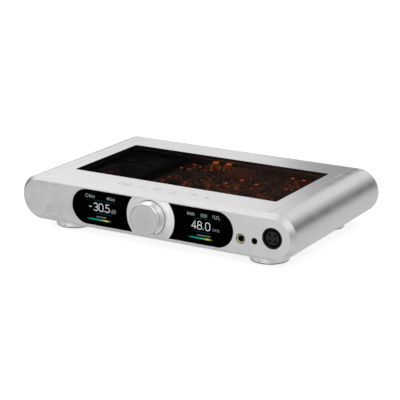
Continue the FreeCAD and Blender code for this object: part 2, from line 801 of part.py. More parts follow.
def fuse_drawer():
    z = mid_z - drawer_drop
    tray = block(inlet_x, z, drawer_width, drawer_height, back_y - drawer_depth, back_y + 2.2)
    lip = block(inlet_x, z, drawer_width - 2, drawer_height - 1, back_y + 2.2, back_y + 3.2)
    pocket = box(inlet_x - 10.4, inlet_x + 10.4, back_y - 12.6, back_y - 6.8, z - 2.75, z + drawer_height)
    return fused([tray, lip]).cut(pocket)


def fuse():
    z = mid_z - drawer_drop
    y = back_y - 9.7
    glass = rod_x(y, z, 2.4, inlet_x - 5.5, inlet_x + 5.5)
    caps = [rod_x(y, z, 2.6, inlet_x - 10, inlet_x - 5.5), rod_x(y, z, 2.6, inlet_x + 5.5, inlet_x + 10)]
    return fused([glass] + caps)


def power_rocker():
    """A rocker with two sloping faces, pressed in at its lower end."""
    pivot = V(rocker_x, rocker_pivot_y, mid_z)
    left = rocker_x - rocker_width / 2
    right = rocker_x + rocker_width / 2
    disc = rod_x(rocker_pivot_y, mid_z, rocker_radius, left, right)
    slope = math.tan(math.radians(rocker_swing))
    crown = 3.0
    end = crown + slope * rocker_radius
    profile = [V(left, rocker_pivot_y - 4, mid_z - 20), V(left, rocker_pivot_y - 4, mid_z + 20),
               V(left, rocker_pivot_y + end + slope * 10.4, mid_z + 20),
               V(left, rocker_pivot_y + crown, mid_z),
               V(left, rocker_pivot_y + end + slope * 10.4, mid_z - 20)]
    prism = Part.Face(Part.makePolygon(profile + profile[:1])).extrude(V(rocker_width, 0, 0))
    rocker = disc.common(prism)
    pins = rod_x(rocker_pivot_y, mid_z, 1.0, left - 1.4, right + 1.4)
    rocker = rocker.fuse(pins).removeSplitter()
    rocker.rotate(pivot, X_AXIS, rocker_swing)
    return rocker


# ---- boards and what they carry --------------------------------------------------------
main_left = -55.0
main_right = 124.0
main_depths = (42.0, 172.0)
power_left = -126.0
power_right = -60.0
power_depths = (62.0, 158.0)
upper_left = -46.0
upper_right = 118.0
upper_depths = (47.0, 160.0)
upper_z = 46.5             # the converter board lies just under the window
post_xs = (upper_left + 5, 46.0, upper_right - 5)
post_radius = 2.5
header_xs = (upper_left + 50, upper_right - 50)
header_width = 2.6
header_depths = (20.0, 60.0)
shield_top = 51.0
shield_slots = 7
shield_slot_pitch = 5.0
chip_height = 1.6
channel_xs = (10.0, 66.0)
chip_pitch = 12.0


def board(left, right, depths, holes):
    plate = box(left, right, front_y + depths[0], front_y + depths[1], board_z, board_top)
    return plate.cut([rod_z(x, y, 1.6, board_z - 1, board_top + 1) for x, y in holes])


def standoff(x, y):
    return rod_z(x, y, 2.8, bottom_inner, board_z).cut(rod_z(x, y, 1.2, bottom_inner - 1, board_z + 1))


def converter_board():
    """The upper board, on six tall posts and two pin headers."""
    y0 = front_y + upper_depths[0]
    y1 = front_y + upper_depths[1]
    pieces = [box(upper_left, upper_right, y0, y1, upper_z, upper_z + board_thickness)]
    for x in post_xs:
        for y in (y0 + 9, y1 - 2.8):
            pieces.append(rod_z(x, y, post_radius, board_top, upper_z))
    for x in header_xs:
        pieces.append(block(x, (board_top + upper_z) / 2, header_width, upper_z - board_top,
                            y0 + header_depths[0], y0 + header_depths[1]))
    return fused(pieces)


def chip_places():
    """Centre x, centre y, width, depth and seat height of each chip."""
    chips = []
    seat = upper_z + board_thickness
    for centre in channel_xs:
        chips.append((centre, front_y + 78.0, 12.0, 12.0, seat))
        for row in range(4):
            for side in (-1, 1):
                y = front_y + 98.0 + chip_pitch * row
                chips.append((centre + side * chip_pitch, y, 5.0, 4.0, seat))
    chips.append((-24.0, front_y + 84.0, 14.0, 14.0, seat))
    chips.append((-24.0, front_y + 110.0, 10.0, 10.0, seat))
    chips.append((102.0, front_y + 84.0, 10.0, 8.0, seat))
    return chips


def chip(x, y, width, depth, seat):
    return box(x - width / 2, x + width / 2, y - depth / 2, y + depth / 2, seat, seat + chip_height)


def capacitor(x, y, radius, height):
    can = rod_z(x, y, radius, board_top, board_top + height)
    top = [e for e in can.Edges if e.BoundBox.ZMin > board_top + height - 0.01]
    return can.makeFillet(0.6, top)


# first x and depth, columns, rows, pitch, radius and height of each group of capacitors
capacitor_groups = [
    (-84.0, 120.0, 2, 2, 15.0, 6.5, 24.0),
    (-44.0, 116.0, 4, 3, 12.0, 4.5, 15.0),
]


def capacitor_places():
    places = []
    for x, depth, columns, rows, pitch, radius, height in capacitor_groups:
        for column in range(columns):
            for row in range(rows):
                places.append((x + pitch * column, front_y + depth + pitch * row, radius, height))
    return places


relay_size = (14.0, 7.5, 9.5)
relay_pitch = (17.0, 10.5)


def relay_places():
    dx, dy = relay_pitch
    return [(14.0 + dx * i, front_y + 136.0 + dy * j) for i in range(5) for j in range(2)]


def relay(x, y):
    width, depth, height = relay_size
    solid = box(x, x + width, y, y + depth, board_top, board_top + height)
    top = [e for e in solid.Edges if e.BoundBox.ZMin > board_top + height - 0.1]
    return solid.makeChamfer(0.5, top)


def power_shield():
    """A folded black cover over the power board, open at the front and back, with vents."""
    y0 = front_y + power_depths[0] - 12
    y1 = front_y + power_depths[1]
    left = power_left + 1
    lid = box(left, power_right, y0, y1, shield_top - 1, shield_top)
    wall_y = front_y + power_depths[0]
    walls = [box(x, x + 1, wall_y, y1, board_top, shield_top) for x in (left, power_right - 1)]
    slots = []
    for row in range(shield_slots):
        y = y1 - 14 - shield_slot_pitch * row
        slots.append(rounded_box(left + 10, left + 28, y, y + 2, shield_top - 2, shield_top + 1, 0.9))
    return fused([lid] + walls).cut(slots)


sink_left = -123.0
sink_right = -93.0
fin_pitch = 4.7
fin_width = 1.8
fin_height = 26.0


def heat_sink():
    y0, y1 = front_y + 74, front_y + 140
    base = box(sink_left, sink_right, y0, y1, board_top, board_top + 5)
    fins = []
    for i in range(7):
        x = sink_left + fin_pitch * i
        fins.append(box(x, x + fin_width, y0, y1, board_top + 4, board_top + fin_height))
    return fused([base] + fins)


core_size = (26.0, 32.0)
winding_size = (22.0, 24.0)
winding_height = 27.0


def transformer():
    x = -75.0
    y = front_y + 92
    width, depth = core_size
    core = box(x - width / 2, x + width / 2, y - depth / 2, y + depth / 2, board_top + 6, board_top + 20)
    width, depth = winding_size
    winding = box(x - width / 2, x + width / 2, y - depth / 2, y + depth / 2,
                  board_top, board_top + winding_height)
    return core.fuse(winding)


cable_thickness = 0.9
wire_radius = 1.3
wire_spacing = 7.0


def ribbon_cable():
    """A flat cable from the front board down to the main board."""
    width = (-30.0, -4.0)
    level = mid_z - 8
    y0 = front_board_y + board_thickness
    y1 = front_y + 46
    run = box(*width, y0, y1, level, level + cable_thickness)
    drop = box(*width, y1 - cable_thickness, y1, board_top, level + cable_thickness)
    return run.fuse(drop).removeSplitter()


def mains_wiring():
    """The terminal block on the power board and its three wires to the inlet."""
    y0 = front_y + 146
    y1 = front_y + 156
    z = board_top + 4
    pieces = [box(inlet_x - 11, inlet_x + 11, y0, y1, board_top, board_top + 9)]
    for offset in (-wire_spacing, 0.0, wire_spacing):
        pieces.append(rod_y(inlet_x + offset, z, wire_radius, y1, rear_inner - inlet_case_depth))
    return fused(pieces)


# ---- write every sub-part --------------------------------------------------------------
def main():
    os.makedirs("parts", exist_ok=True)

    save("front_fascia", front_fascia())
    save("knob_bezel", knob_bezel())
    rail = side_rail()
    save("side_rail_right", rail)
    save("side_rail_left", mirrored(rail))
    save("top_plate", top_plate())
    save("window_glass", window_glass())
    save("window_gasket", window_gasket())
    save("bottom_plate", bottom_plate())
    save("rear_panel", rear_panel())

    save("foot_cups", *[foot_cup(x, y) for x, y in feet])
    save("foot_pads", *[foot_pad(x, y) for x, y in feet])
    save("foot_screws", *[foot_screw(x, y) for x, y in feet])
    save("top_plate_screws", *[top_screw(x, y) for x, y in ledge_screws])
    save("bottom_plate_screws", *[bottom_screw(x, y) for x, y in ledge_screws + lug_screws])
    save("rear_panel_screws", *rear_panel_screws())
    save("socket_screws", *socket_screws())
    save("board_standoffs", *[standoff(x, y) for x, y in main_holes + power_holes])
    save("board_screws", *[board_screw(x, y) for x, y in main_holes + power_holes])

    lens = display_lens()
    save("display_lens_right", lens)
    save("display_lens_left", mirrored(lens))
    module = display_module()
    save("display_module_right", module)
    save("display_module_left", mirrored(module))
    save("front_board", front_board())

    save("volume_knob", volume_knob())
    save("knob_grub_screw", knob_grub_screw())
    save("encoder_shaft", encoder_shaft())
    save("encoder_body", encoder_body())
    save("encoder_plunger", encoder_plunger())
    save("encoder_nut", encoder_nut())

    save("headphone_jack", headphone_jack())
    save("headphone_jack_ring", headphone_jack_ring())
    save("balanced_jack", balanced_jack())
    save("xlr4_shell", xlr4_shell())
    save("xlr4_insert", xlr4_insert())
    save("xlr4_contacts", *xlr4_contacts())

    save("xlr_outputs", *[xlr_output(x) for x in xlr_out_xs])
    save("xlr_output_pins", *xlr_output_pins())
    save("aes_shell", aes_shell())
    save("aes_insert", aes_insert())
    save("phono_sockets", *[phono_socket(x, z) for x, z in phono_places()])
    save("usb_socket", usb_socket())
    save("optical_input", optical_input())
    save("optical_shutter", optical_shutter())
    save("trigger_jacks", *[trigger_jack(x, z) for x, z in trigger_places()])
    save("inlet_body", inlet_body())
    save("inlet_pins", *inlet_blades())
    save("fuse_drawer", fuse_drawer())
    save("fuse", fuse())
    save("power_rocker", power_rocker())

    save("main_board", board(main_left, main_right, main_depths, main_holes))
    save("power_board", board(power_left, power_right, power_depths, power_holes))
    save("converter_board", converter_board())
    save("chips", *[chip(*place) for place in chip_places()])
    save("capacitors", *[capacitor(*place) for place in capacitor_places()])
    save("output_relays", *[relay(x, y) for x, y in relay_places()])
    save("power_shield", power_shield())
    save("heat_sink", heat_sink())
    save("transformer", transformer())
    save("ribbon_cable", ribbon_cable())
    save("mains_wiring", mains_wiring())


main()
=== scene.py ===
import math
import random

import bmesh
import bpy
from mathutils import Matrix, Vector


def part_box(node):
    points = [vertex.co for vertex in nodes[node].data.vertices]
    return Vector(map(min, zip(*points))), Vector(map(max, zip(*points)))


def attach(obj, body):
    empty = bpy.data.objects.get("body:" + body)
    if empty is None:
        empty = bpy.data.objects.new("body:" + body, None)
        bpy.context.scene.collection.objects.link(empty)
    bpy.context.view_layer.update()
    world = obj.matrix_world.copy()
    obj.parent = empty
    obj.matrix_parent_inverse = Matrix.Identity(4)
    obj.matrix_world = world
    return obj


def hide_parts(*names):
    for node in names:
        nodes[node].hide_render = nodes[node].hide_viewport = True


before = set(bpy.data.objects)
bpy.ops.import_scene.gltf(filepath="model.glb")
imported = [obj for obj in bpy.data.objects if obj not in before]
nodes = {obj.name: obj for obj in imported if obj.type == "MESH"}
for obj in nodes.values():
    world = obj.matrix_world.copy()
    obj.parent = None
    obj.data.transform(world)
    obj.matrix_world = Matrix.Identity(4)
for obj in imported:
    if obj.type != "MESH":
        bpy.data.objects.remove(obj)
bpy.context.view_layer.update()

MM = 0.001

# ---- places read from the frame ---------------------------------------------------------
face_low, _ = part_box("front_fascia")
_, top_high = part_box("top_plate")
rear_low, rear_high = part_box("rear_panel")
board_low, board_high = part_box("converter_board")
_, shield_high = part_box("power_shield")
xlr_low, xlr_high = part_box("xlr4_insert")
front_y = face_low.y
mid_z = (rear_low.z + rear_high.z) / 2
top_z = top_high.z
knob_low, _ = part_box("volume_knob")
# the knob's polished front chamfer, along y
EDGE_HALF_WIDTH = 0.38 * MM
EDGE_MIDDLE = knob_low.y + 0.40 * MM
EDGE_FRONT = EDGE_MIDDLE - EDGE_HALF_WIDTH
EDGE_BACK = EDGE_MIDDLE + EDGE_HALF_WIDTH


# ---- flat places to build on ------------------------------------------------------------
class Plane:
    """A place to build on: u and v run along it and w stands out of it, all in millimetres."""

    def __init__(self, origin, u, v):
        self.origin = Vector(origin)
        self.u = Vector(u)
        self.v = Vector(v)
        self.w = self.u.cross(self.v)

    def point(self, u, v, w=0.0):
        return self.origin + (self.u * u + self.v * v + self.w * w) * MM


X, Y, Z = (1, 0, 0), (0, 1, 0), (0, 0, 1)
FACE = Plane((0, front_y, mid_z), X, Z)
TOP = Plane((0, front_y, top_z), X, Y)
BOARD = Plane((0, front_y, board_high.z), X, Y)
SHIELD = Plane((0, front_y, shield_high.z), X, Y)
# the display graphics lie in the thin space between the lit panel and its lens
SCREEN = Plane((0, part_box("display_lens_right")[1].y, mid_z), X, Z)


# ---- outlines ---------------------------------------------------------------------------
def arc(cx, cy, rx, ry, start, end, steps=12):
    """Points along part of an ellipse, with the angles in degrees."""
    points = []
    for i in range(steps + 1):
        angle = math.radians(start + (end - start) * i / steps)
        points.append((cx + rx * math.cos(angle), cy + ry * math.sin(angle)))
    return points


def circle(cx, cy, radius, steps=32):
    return arc(cx, cy, radius, radius, 0, 360 * (steps - 1) / steps, steps - 1)


def rectangle(cx, cy, width, height):
    dx, dy = width / 2, height / 2
    return [(cx - dx, cy - dy), (cx + dx, cy - dy), (cx + dx, cy + dy), (cx - dx, cy + dy)]


def rounded(cx, cy, width, height, radius, steps=5):
    dx, dy = width / 2 - radius, height / 2 - radius
    points = []
    for sx, sy, start in ((1, 1, 0), (-1, 1, 90), (-1, -1, 180), (1, -1, 270)):
        points += arc(cx + sx * dx, cy + sy * dy, radius, radius, start, start + 90, steps)
    return points


# ---- building pieces --------------------------------------------------------------------
class Piece:
    """Closed solids on one plane, gathered into one object."""

    def __init__(self, plane):
        self.plane = plane
        self.bm = bmesh.new()

    def loop(self, outline, w):
        return [self.bm.verts.new(self.plane.point(u, v, w)) for u, v in outline]

    def wall(self, low, high):
        """The faces between two loops of equal point count."""
        for i in range(len(low)):
            j = (i + 1) % len(low)
            self.bm.faces.new((low[i], low[j], high[j], high[i]))

    def loft(self, rings):
        """A closed solid through (outline, height) rings of equal point count."""
        loops = [self.loop(outline, w) for outline, w in rings]
        self.bm.faces.new(loops[0][::-1])
        self.bm.faces.new(loops[-1])
        for low, high in zip(loops, loops[1:]):
            self.wall(low, high)

    def prism(self, outline, w0, w1):
        self.loft([(outline, w0), (outline, w1)])

    def block(self, cx, cy, width, height, w0, w1, chamfer=0.0):
        outline = rectangle(cx, cy, width, height)
        inner = rectangle(cx, cy, width - 2 * chamfer, height - 2 * chamfer)
        if chamfer:
            self.loft([(outline, w0), (outline, w1 - chamfer), (inner, w1)])
        else:
            self.prism(outline, w0, w1)

    def sleeve(self, corners):
        """A closed ring whose section has the given (outline, height) corners."""
        loops = [self.loop(outline, w) for outline, w in corners]
        for low, high in zip(loops, loops[1:] + loops[:1]):
            self.wall(low, high)

    def tube(self, outer, inner, w0, w1):
        """The space between two outlines of equal point count, as one solid with a hole."""
        self.sleeve([(outer, w0), (outer, w1), (inner, w1), (inner, w0)])

    def ring(self, cx, cy, outer, inner, w0, w1, steps=48):
        self.tube(circle(cx, cy, outer, steps), circle(cx, cy, inner, steps), w0, w1)

    def dish(self, cx, cy, outer, inner, w0, w_outer, w_inner, steps=48):
        """A ring whose front slopes in from its outer edge to its inner one."""
        rim, hole = circle(cx, cy, outer, steps), circle(cx, cy, inner, steps)
        self.sleeve([(rim, w0), (rim, w_outer), (hole, w_inner), (hole, w0)])

    def ribbon(self, points, width, w0, w1):
        """A flat line of even width along a path, mitred at its turns."""
        half = width / 2
        left, right = [], []
        for i, point in enumerate(points):
            here = Vector(point)
            into = (here - Vector(points[i - 1])).normalized() if i else None
            out = (Vector(points[i + 1]) - here).normalized() if i + 1 < len(points) else None
            into, out = into or out, out or into
            side = Vector((-into.y - out.y, into.x + out.x)).normalized()
            reach = half / max(0.5, side.dot(Vector((-into.y, into.x))))
            left.append(tuple(here + side * reach))
            right.append(tuple(here - side * reach))
        loops = []
        for a, b in zip(left, right):
            corners = ((a, w0), (b, w0), (b, w1), (a, w1))
            loops.append([self.bm.verts.new(self.plane.point(*place, w)) for place, w in corners])
        self.bm.faces.new(loops[0])
        self.bm.faces.new(loops[-1][::-1])
        for a, b in zip(loops, loops[1:]):
            for k in range(4):
                n = (k + 1) % 4
                self.bm.faces.new((a[k], b[k], b[n], a[n]))

    def mesh(self, name, material):
        bmesh.ops.recalc_face_normals(self.bm, faces=self.bm.faces)
        data = bpy.data.meshes.new(name)
        self.bm.to_mesh(data)
        self.bm.free()
        data.materials.append(material)
        obj = bpy.data.objects.new(name, data)
        bpy.context.scene.collection.objects.link(obj)
        return obj

    def finish(self, name, slot, material, body="chassis"):
        obj = self.mesh(name, material)
        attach(obj, body)


# ---- procedural materials ---------------------------------------------------------------
class Surface:
    """A Principled material whose colour, roughness and relief come from procedural nodes."""

    def __init__(self, name, colour, metallic=0.0, roughness=0.5, **sockets):
        self.material = bpy.data.materials.new(name)
        self.material.use_nodes = True
        self.tree = self.material.node_tree
        self.shader = self.tree.nodes["Principled BSDF"]
        self.colour = colour
        self.set("Base Color", (*colour, 1.0))
        self.set("Metallic", metallic)
        self.set("Roughness", roughness)
        for label, value in sockets.items():
            self.set(label.replace("_", " "), value)
        self.position = self.node("ShaderNodeTexCoord").outputs["Object"]
        self.normal = None

    def set(self, label, value):
        self.shader.inputs[label].default_value = value

    def node(self, kind, **settings):
        made = self.tree.nodes.new(kind)
        for key, value in settings.items():
            setattr(made, key, value)
        return made

    def link(self, source, target):
        self.tree.links.new(source, target)

    def stretch(self, scale):
        mapping = self.node("ShaderNodeMapping")
        mapping.inputs["Scale"].default_value = scale
        self.link(self.position, mapping.inputs["Vector"])
        return mapping.outputs["Vector"]

    def noise(self, scale=(1.0, 1.0, 1.0), detail=3.0, vector=None):
        texture = self.node("ShaderNodeTexNoise")
        texture.inputs["Scale"].default_value = 1.0
        texture.inputs["Detail"].default_value = detail
        self.link(vector or self.stretch(scale), texture.inputs["Vector"])
        return texture.outputs["Fac"]

    def even_noise(self, scale, detail=3.0):
        return self.noise((scale, scale, scale), detail)

    def spread(self, source, low, high, start=0.3, end=0.7):
        """Maps a pattern to the values between low and high."""
        mapped = self.node("ShaderNodeMapRange", interpolation_type="SMOOTHSTEP")
        values = (("From Min", start), ("From Max", end), ("To Min", low), ("To Max", high))
        for label, value in values:
            mapped.inputs[label].default_value = value
        self.link(source, mapped.inputs["Value"])
        return mapped.outputs["Result"]

    def ramp(self, source, stops):
        colours = self.node("ShaderNodeValToRGB")
        elements = colours.color_ramp.elements
        while len(elements) < len(stops):
            elements.new(0.5)
        for element, (place, colour) in zip(elements, stops):
            element.position = place
            element.color = (*colour, 1.0)
        self.link(source, colours.inputs["Fac"])
        return colours.outputs["Color"]

    def vary_roughness(self, source, low, high):
        self.link(self.spread(source, low, high), self.shader.inputs["Roughness"])
        return self

    def vary_colour(self, source, amount):
        """Shades the base colour up and down by a fraction of itself."""
        dark = [channel * (1 - amount) for channel in self.colour]
        light = [min(1.0, channel * (1 + amount)) for channel in self.colour]
        self.link(self.ramp(source, [(0.3, dark), (0.7, light)]), self.shader.inputs["Base Color"])
        return self

    def relief(self, source, height, strength=0.5):
        bump = self.node("ShaderNodeBump")
        bump.inputs["Strength"].default_value = strength
        bump.inputs["Distance"].default_value = height
        self.link(source, bump.inputs["Height"])
        if self.normal:
            self.link(self.normal, bump.inputs["Normal"])
        self.normal = bump.outputs["Normal"]
        self.link(self.normal, self.shader.inputs["Normal"])
        return self

    def glow(self, source, strength):
        self.link(source, self.shader.inputs["Emission Color"])
        self.set("Emission Strength", strength)
        return self

    def axis(self, label):
        parts = self.node("ShaderNodeSeparateXYZ")
        self.link(self.position, parts.inputs["Vector"])
        return parts.outputs[label]


def blasted_aluminium(name, shade, roughness):
    """Fine bead-blasted, clear anodised aluminium."""
    surface = Surface(name, (shade, shade, shade * 1.005), metallic=1.0, roughness=roughness)
    surface.vary_roughness(surface.even_noise(90.0), roughness - 0.03, roughness + 0.03)
    surface.vary_colour(surface.even_noise(1600.0, 2.0), 0.025)
    return surface.relief(surface.even_noise(2600.0, 2.0), 0.00003, 0.35).material


def brushed_aluminium(name, shade, roughness):
    """Aluminium with a faint grain along x."""
    surface = Surface(name, (shade, shade, shade * 1.005), metallic=1.0, roughness=roughness)
    grain = surface.noise((60.0, 3800.0, 3800.0), 3.0)
    surface.vary_roughness(grain, roughness - 0.04, roughness + 0.04)
    surface.vary_colour(surface.noise((25.0, 900.0, 900.0), 3.0), 0.03)
    return surface.relief(grain, 0.00002, 0.3).material


def spun_aluminium_painted_side_light(name, shade, painted_side_light, roughness, polish):
    """Turned aluminium with fine rings round the knob's axis and a polished front edge; behind that
    edge the knob's side is painted lighter than its face, as painted light.
    """
    surface = Surface(name, (shade, shade, shade * 1.005), metallic=1.0, roughness=roughness)
    parts = surface.node("ShaderNodeSeparateXYZ")
    surface.link(surface.position, parts.inputs["Vector"])
    lifted = surface.node("ShaderNodeMath", operation="SUBTRACT")
    lifted.inputs[1].default_value = mid_z
    surface.link(parts.outputs["Z"], lifted.inputs[0])
    flat = surface.node("ShaderNodeCombineXYZ")
    surface.link(parts.outputs["X"], flat.inputs["X"])
    surface.link(lifted.outputs[0], flat.inputs["Z"])
    radius = surface.node("ShaderNodeVectorMath", operation="LENGTH")
    surface.link(flat.outputs["Vector"], radius.inputs[0])
    along = surface.node("ShaderNodeCombineXYZ")
    surface.link(radius.outputs["Value"], along.inputs["X"])
    surface.link(parts.outputs["Y"], along.inputs["Y"])
    rings = surface.node("ShaderNodeTexNoise")
    rings.inputs["Scale"].default_value = 4200.0
    surface.link(along.outputs["Vector"], rings.inputs["Vector"])
    edge = surface.node("ShaderNodeMath", operation="COMPARE")
    edge.inputs[1].default_value = EDGE_MIDDLE
    edge.inputs[2].default_value = EDGE_HALF_WIDTH
    surface.link(parts.outputs["Y"], edge.inputs[0])
    turned = surface.spread(rings.outputs["Fac"], roughness - 0.05, roughness + 0.05)
    mixed = surface.node("ShaderNodeMix")
    surface.link(edge.outputs[0], mixed.inputs["Factor"])
    surface.link(turned, mixed.inputs["A"])
    mixed.inputs["B"].default_value = polish
    surface.link(mixed.outputs["Result"], surface.shader.inputs["Roughness"])
    # painted light: the base colour runs from the face's shade to a lighter one on the knob's side,
    # behind the polished edge
    depth = surface.spread(parts.outputs["Y"], 0.0, 1.0, EDGE_FRONT, EDGE_BACK)
    painted_side_shades = surface.ramp(depth, [(0.0, (shade,) * 3), (1.0, (painted_side_light,) * 3)])
    surface.link(painted_side_shades, surface.shader.inputs["Base Color"])
    return surface.relief(rings.outputs["Fac"], 0.00001, 0.08).material


def plated(name, colour, roughness, smudge=0.1):
    surface = Surface(name, colour, metallic=1.0, roughness=roughness)
    surface.vary_roughness(surface.even_noise(350.0, 4.0), roughness, roughness + smudge)
    surface.vary_colour(surface.even_noise(180.0), 0.06)
    return surface.relief(surface.even_noise(3000.0, 2.0), 0.00001, 0.25).material


def moulded(name, colour, roughness, grain=2200.0, depth=0.00004, shine=0.5):
    """Plastic or rubber with a fine moulded texture."""
    surface = Surface(name, colour, roughness=roughness, Specular_IOR_Level=shine)
    surface.vary_roughness(surface.even_noise(140.0), roughness - 0.06, roughness + 0.06)
    surface.vary_colour(surface.even_noise(grain * 0.4, 2.0), 0.12)
    return surface.relief(surface.even_noise(grain, 2.0), depth, 0.5).material


def tinted_pane(name, colour, alpha, roughness, shine):
    """Glass: a polished see-through skin with a trace of haze."""
    surface = Surface(name, colour, roughness=roughness, Alpha=alpha, Specular_IOR_Level=shine)
    surface.vary_roughness(surface.even_noise(60.0, 4.0), roughness, roughness + 0.04)
    return surface


# where the painted warm glow in the window glass's colour and the painted glow of the boards begin
# and end, along x in metres
PANE_GLOW_START, PANE_GLOW_END = -0.070, 0.075
GLOW_START, GLOW_END = -0.060, 0.045


def window_pane(name, dark, warm, alpha):
    """The top window: clear and dark on the left, with a warm glow painted into the glass's colour
    towards the right, as painted light from the lamps under it.
    """
    surface = tinted_pane(name, dark, alpha, 0.03, 0.0002)
    along = surface.spread(surface.axis("X"), 0.0, 1.0, PANE_GLOW_START, PANE_GLOW_END)
    # painted light: the glass's colour turns warm towards the right
    haze = surface.ramp(along, [(0.0, dark), (1.0, warm)])
    surface.link(haze, surface.shader.inputs["Base Color"])
    return surface.material


def lit(name, colour, strength):
    """Something that glows, with a slight unevenness in its brightness."""
    surface = Surface(name, [c * 0.2 for c in colour], roughness=0.5)
    cells = surface.even_noise(1800.0, 1.0)
    dim = [c * 0.82 for c in colour]
    return surface.glow(surface.ramp(cells, [(0.35, dim), (0.6, colour)]), strength).material


SPECTRUM = ((0.0, (0.05, 0.09, 0.09)), (0.08, (0.0, 0.22, 0.20)), (0.45, (0.01, 0.30, 0.26)),
            (0.62, (0.12, 0.36, 0.10)), (0.78, (0.62, 0.60, 0.06)), (1.0, (0.10, 0.12, 0.03)))
SPECTRUM_STRENGTH = 11.0


def spectrum_bar(name, left, right):
    """A level bar's light: grey, teal, green and yellow along its length."""
    surface = Surface(name, (0.02, 0.02, 0.02), roughness=0.5)
    along = surface.spread(surface.axis("X"), 0.0, 1.0, left * MM, right * MM)
    along.node.interpolation_type = "LINEAR"
    return surface.glow(surface.ramp(along, SPECTRUM), SPECTRUM_STRENGTH).material


BOARD_DARK = (0.004, 0.003, 0.003)
BOARD_PAINTED_GLOW = (0.036, 0.0095, 0.0055)


def solder_mask_painted_glow(name, colour):
    """A black circuit board that glows faintly warm in patches, stronger towards its right: painted
    light from the lamps, since the board is no lamp.
    """
    surface = Surface(name, colour, roughness=0.42)
    weave = surface.noise((1500.0, 1500.0, 200.0), 1.0)
    surface.relief(weave, 0.00002, 0.4)
    tone_and_glow_blotch = surface.even_noise(38.0, 4.0)
    surface.vary_colour(tone_and_glow_blotch, 0.3)
    warm = surface.spread(surface.axis("X"), 0.0, 1.0, GLOW_START, GLOW_END)
    glow_patches = surface.spread(tone_and_glow_blotch, 0.35, 1.0, 0.36, 0.62)
    product = surface.node("ShaderNodeMath", operation="MULTIPLY")
    surface.link(warm, product.inputs[0])
    surface.link(glow_patches, product.inputs[1])
    # painted light: the emission colour runs from near black to a warm glow in patches and towards
    # the right
    shade = surface.ramp(product.outputs[0], [(0.0, BOARD_DARK), (1.0, BOARD_PAINTED_GLOW)])
    return surface.glow(shade, 1.0).material


METAL = blasted_aluminium("blasted_aluminium", 0.80, 0.33)
# the bezel is the case's aluminium painted lighter (0.86 against 0.80), as painted light
METAL_BEZEL_PAINTED_LIGHTER = blasted_aluminium("bezel_aluminium_painted_lighter", 0.86, 0.33)
METAL_TOP = brushed_aluminium("brushed_aluminium", 0.80, 0.33)
# the knob's side is painted lighter than its face (0.95 against 0.80), as painted light
METAL_KNOB = spun_aluminium_painted_side_light("spun_aluminium_painted_side_light", 0.80, 0.95, 0.31, 0.09)
# the engraved strokes' walls and floors are painted darker, as painted shade in the recess
METAL_GROOVE_PAINTED_SHADE = blasted_aluminium("engraved_groove_painted_shade", 0.45, 0.5)
SEAM = plated("dark_seam", (0.26, 0.26, 0.26), 0.35)
RUBBER = moulded("gasket_rubber", (0.012, 0.012, 0.012), 0.75)
PAD_RUBBER = moulded("pad_rubber", (0.045, 0.045, 0.045), 0.85, 1400.0, 0.00008)
STEEL = plated("zinc_steel", (0.50, 0.50, 0.51), 0.32)
GOLD = plated("gold_plate", (0.80, 0.66, 0.34), 0.22)
# the jack ring, the 4-pin contacts and the small jack's rim are gold painted much darker than the
# plain gold, as painted shade
RING_GOLD_PAINTED_SHADE = plated("ring_gold_painted_shade", (0.15, 0.13, 0.055), 0.26)
LIP_GOLD = plated("lip_gold", (0.74, 0.64, 0.36), 0.12)
RIM_GOLD_PAINTED_SHADE = plated("rim_gold_painted_shade", (0.12, 0.11, 0.055), 0.30)
NICKEL = plated("nickel_plate", (0.66, 0.65, 0.62), 0.22)
BLACK = moulded("black_plastic", (0.020, 0.020, 0.021), 0.48)
RIM_BLACK = moulded("rim_plastic", (0.002, 0.002, 0.002), 0.5, shine=0.06)
SOCKET_BLACK = moulded("socket_plastic", (0.005, 0.005, 0.006), 0.45, 1800.0, shine=0.25)
# the glass's colour turns warm to the right, as painted light from below
PANE = window_pane("smoked_glass", (0.0015, 0.0012, 0.0012), (0.020, 0.012, 0.010), 0.55)
LENS = tinted_pane("display_glass", (0.0006, 0.0006, 0.0006), 0.92, 0.03, 0.01).material
PANEL = moulded("display_panel", (0.002, 0.002, 0.003), 0.6, 900.0, 0.00001, 0.1)
MASK = solder_mask_painted_glow("solder_mask_painted_glow", (0.012, 0.012, 0.012))
EPOXY = moulded("component_epoxy", (0.022, 0.021, 0.021), 0.5, 2600.0)
SLEEVE = moulded("capacitor_sleeve", (0.02, 0.02, 0.03), 0.3)
RELAY = moulded("relay_case", (0.10, 0.10, 0.10), 0.45)
ANODISED = plated("black_anodised", (0.014, 0.014, 0.015), 0.42)
ANODISED_PLATE = plated("shield_plate_metal", (0.13, 0.13, 0.13), 0.45)
TAPE = moulded("winding_tape", (0.45, 0.32, 0.08), 0.35, 700.0)
CABLE = moulded("cable_sheath", (0.35, 0.35, 0.36), 0.5, 900.0)
FUSE_GLASS = tinted_pane("fuse_glass", (0.75, 0.80, 0.80), 0.5, 0.04, 0.4).material
PRINT = moulded("printed_grey", (0.42, 0.42, 0.42), 0.6, shine=0.2)

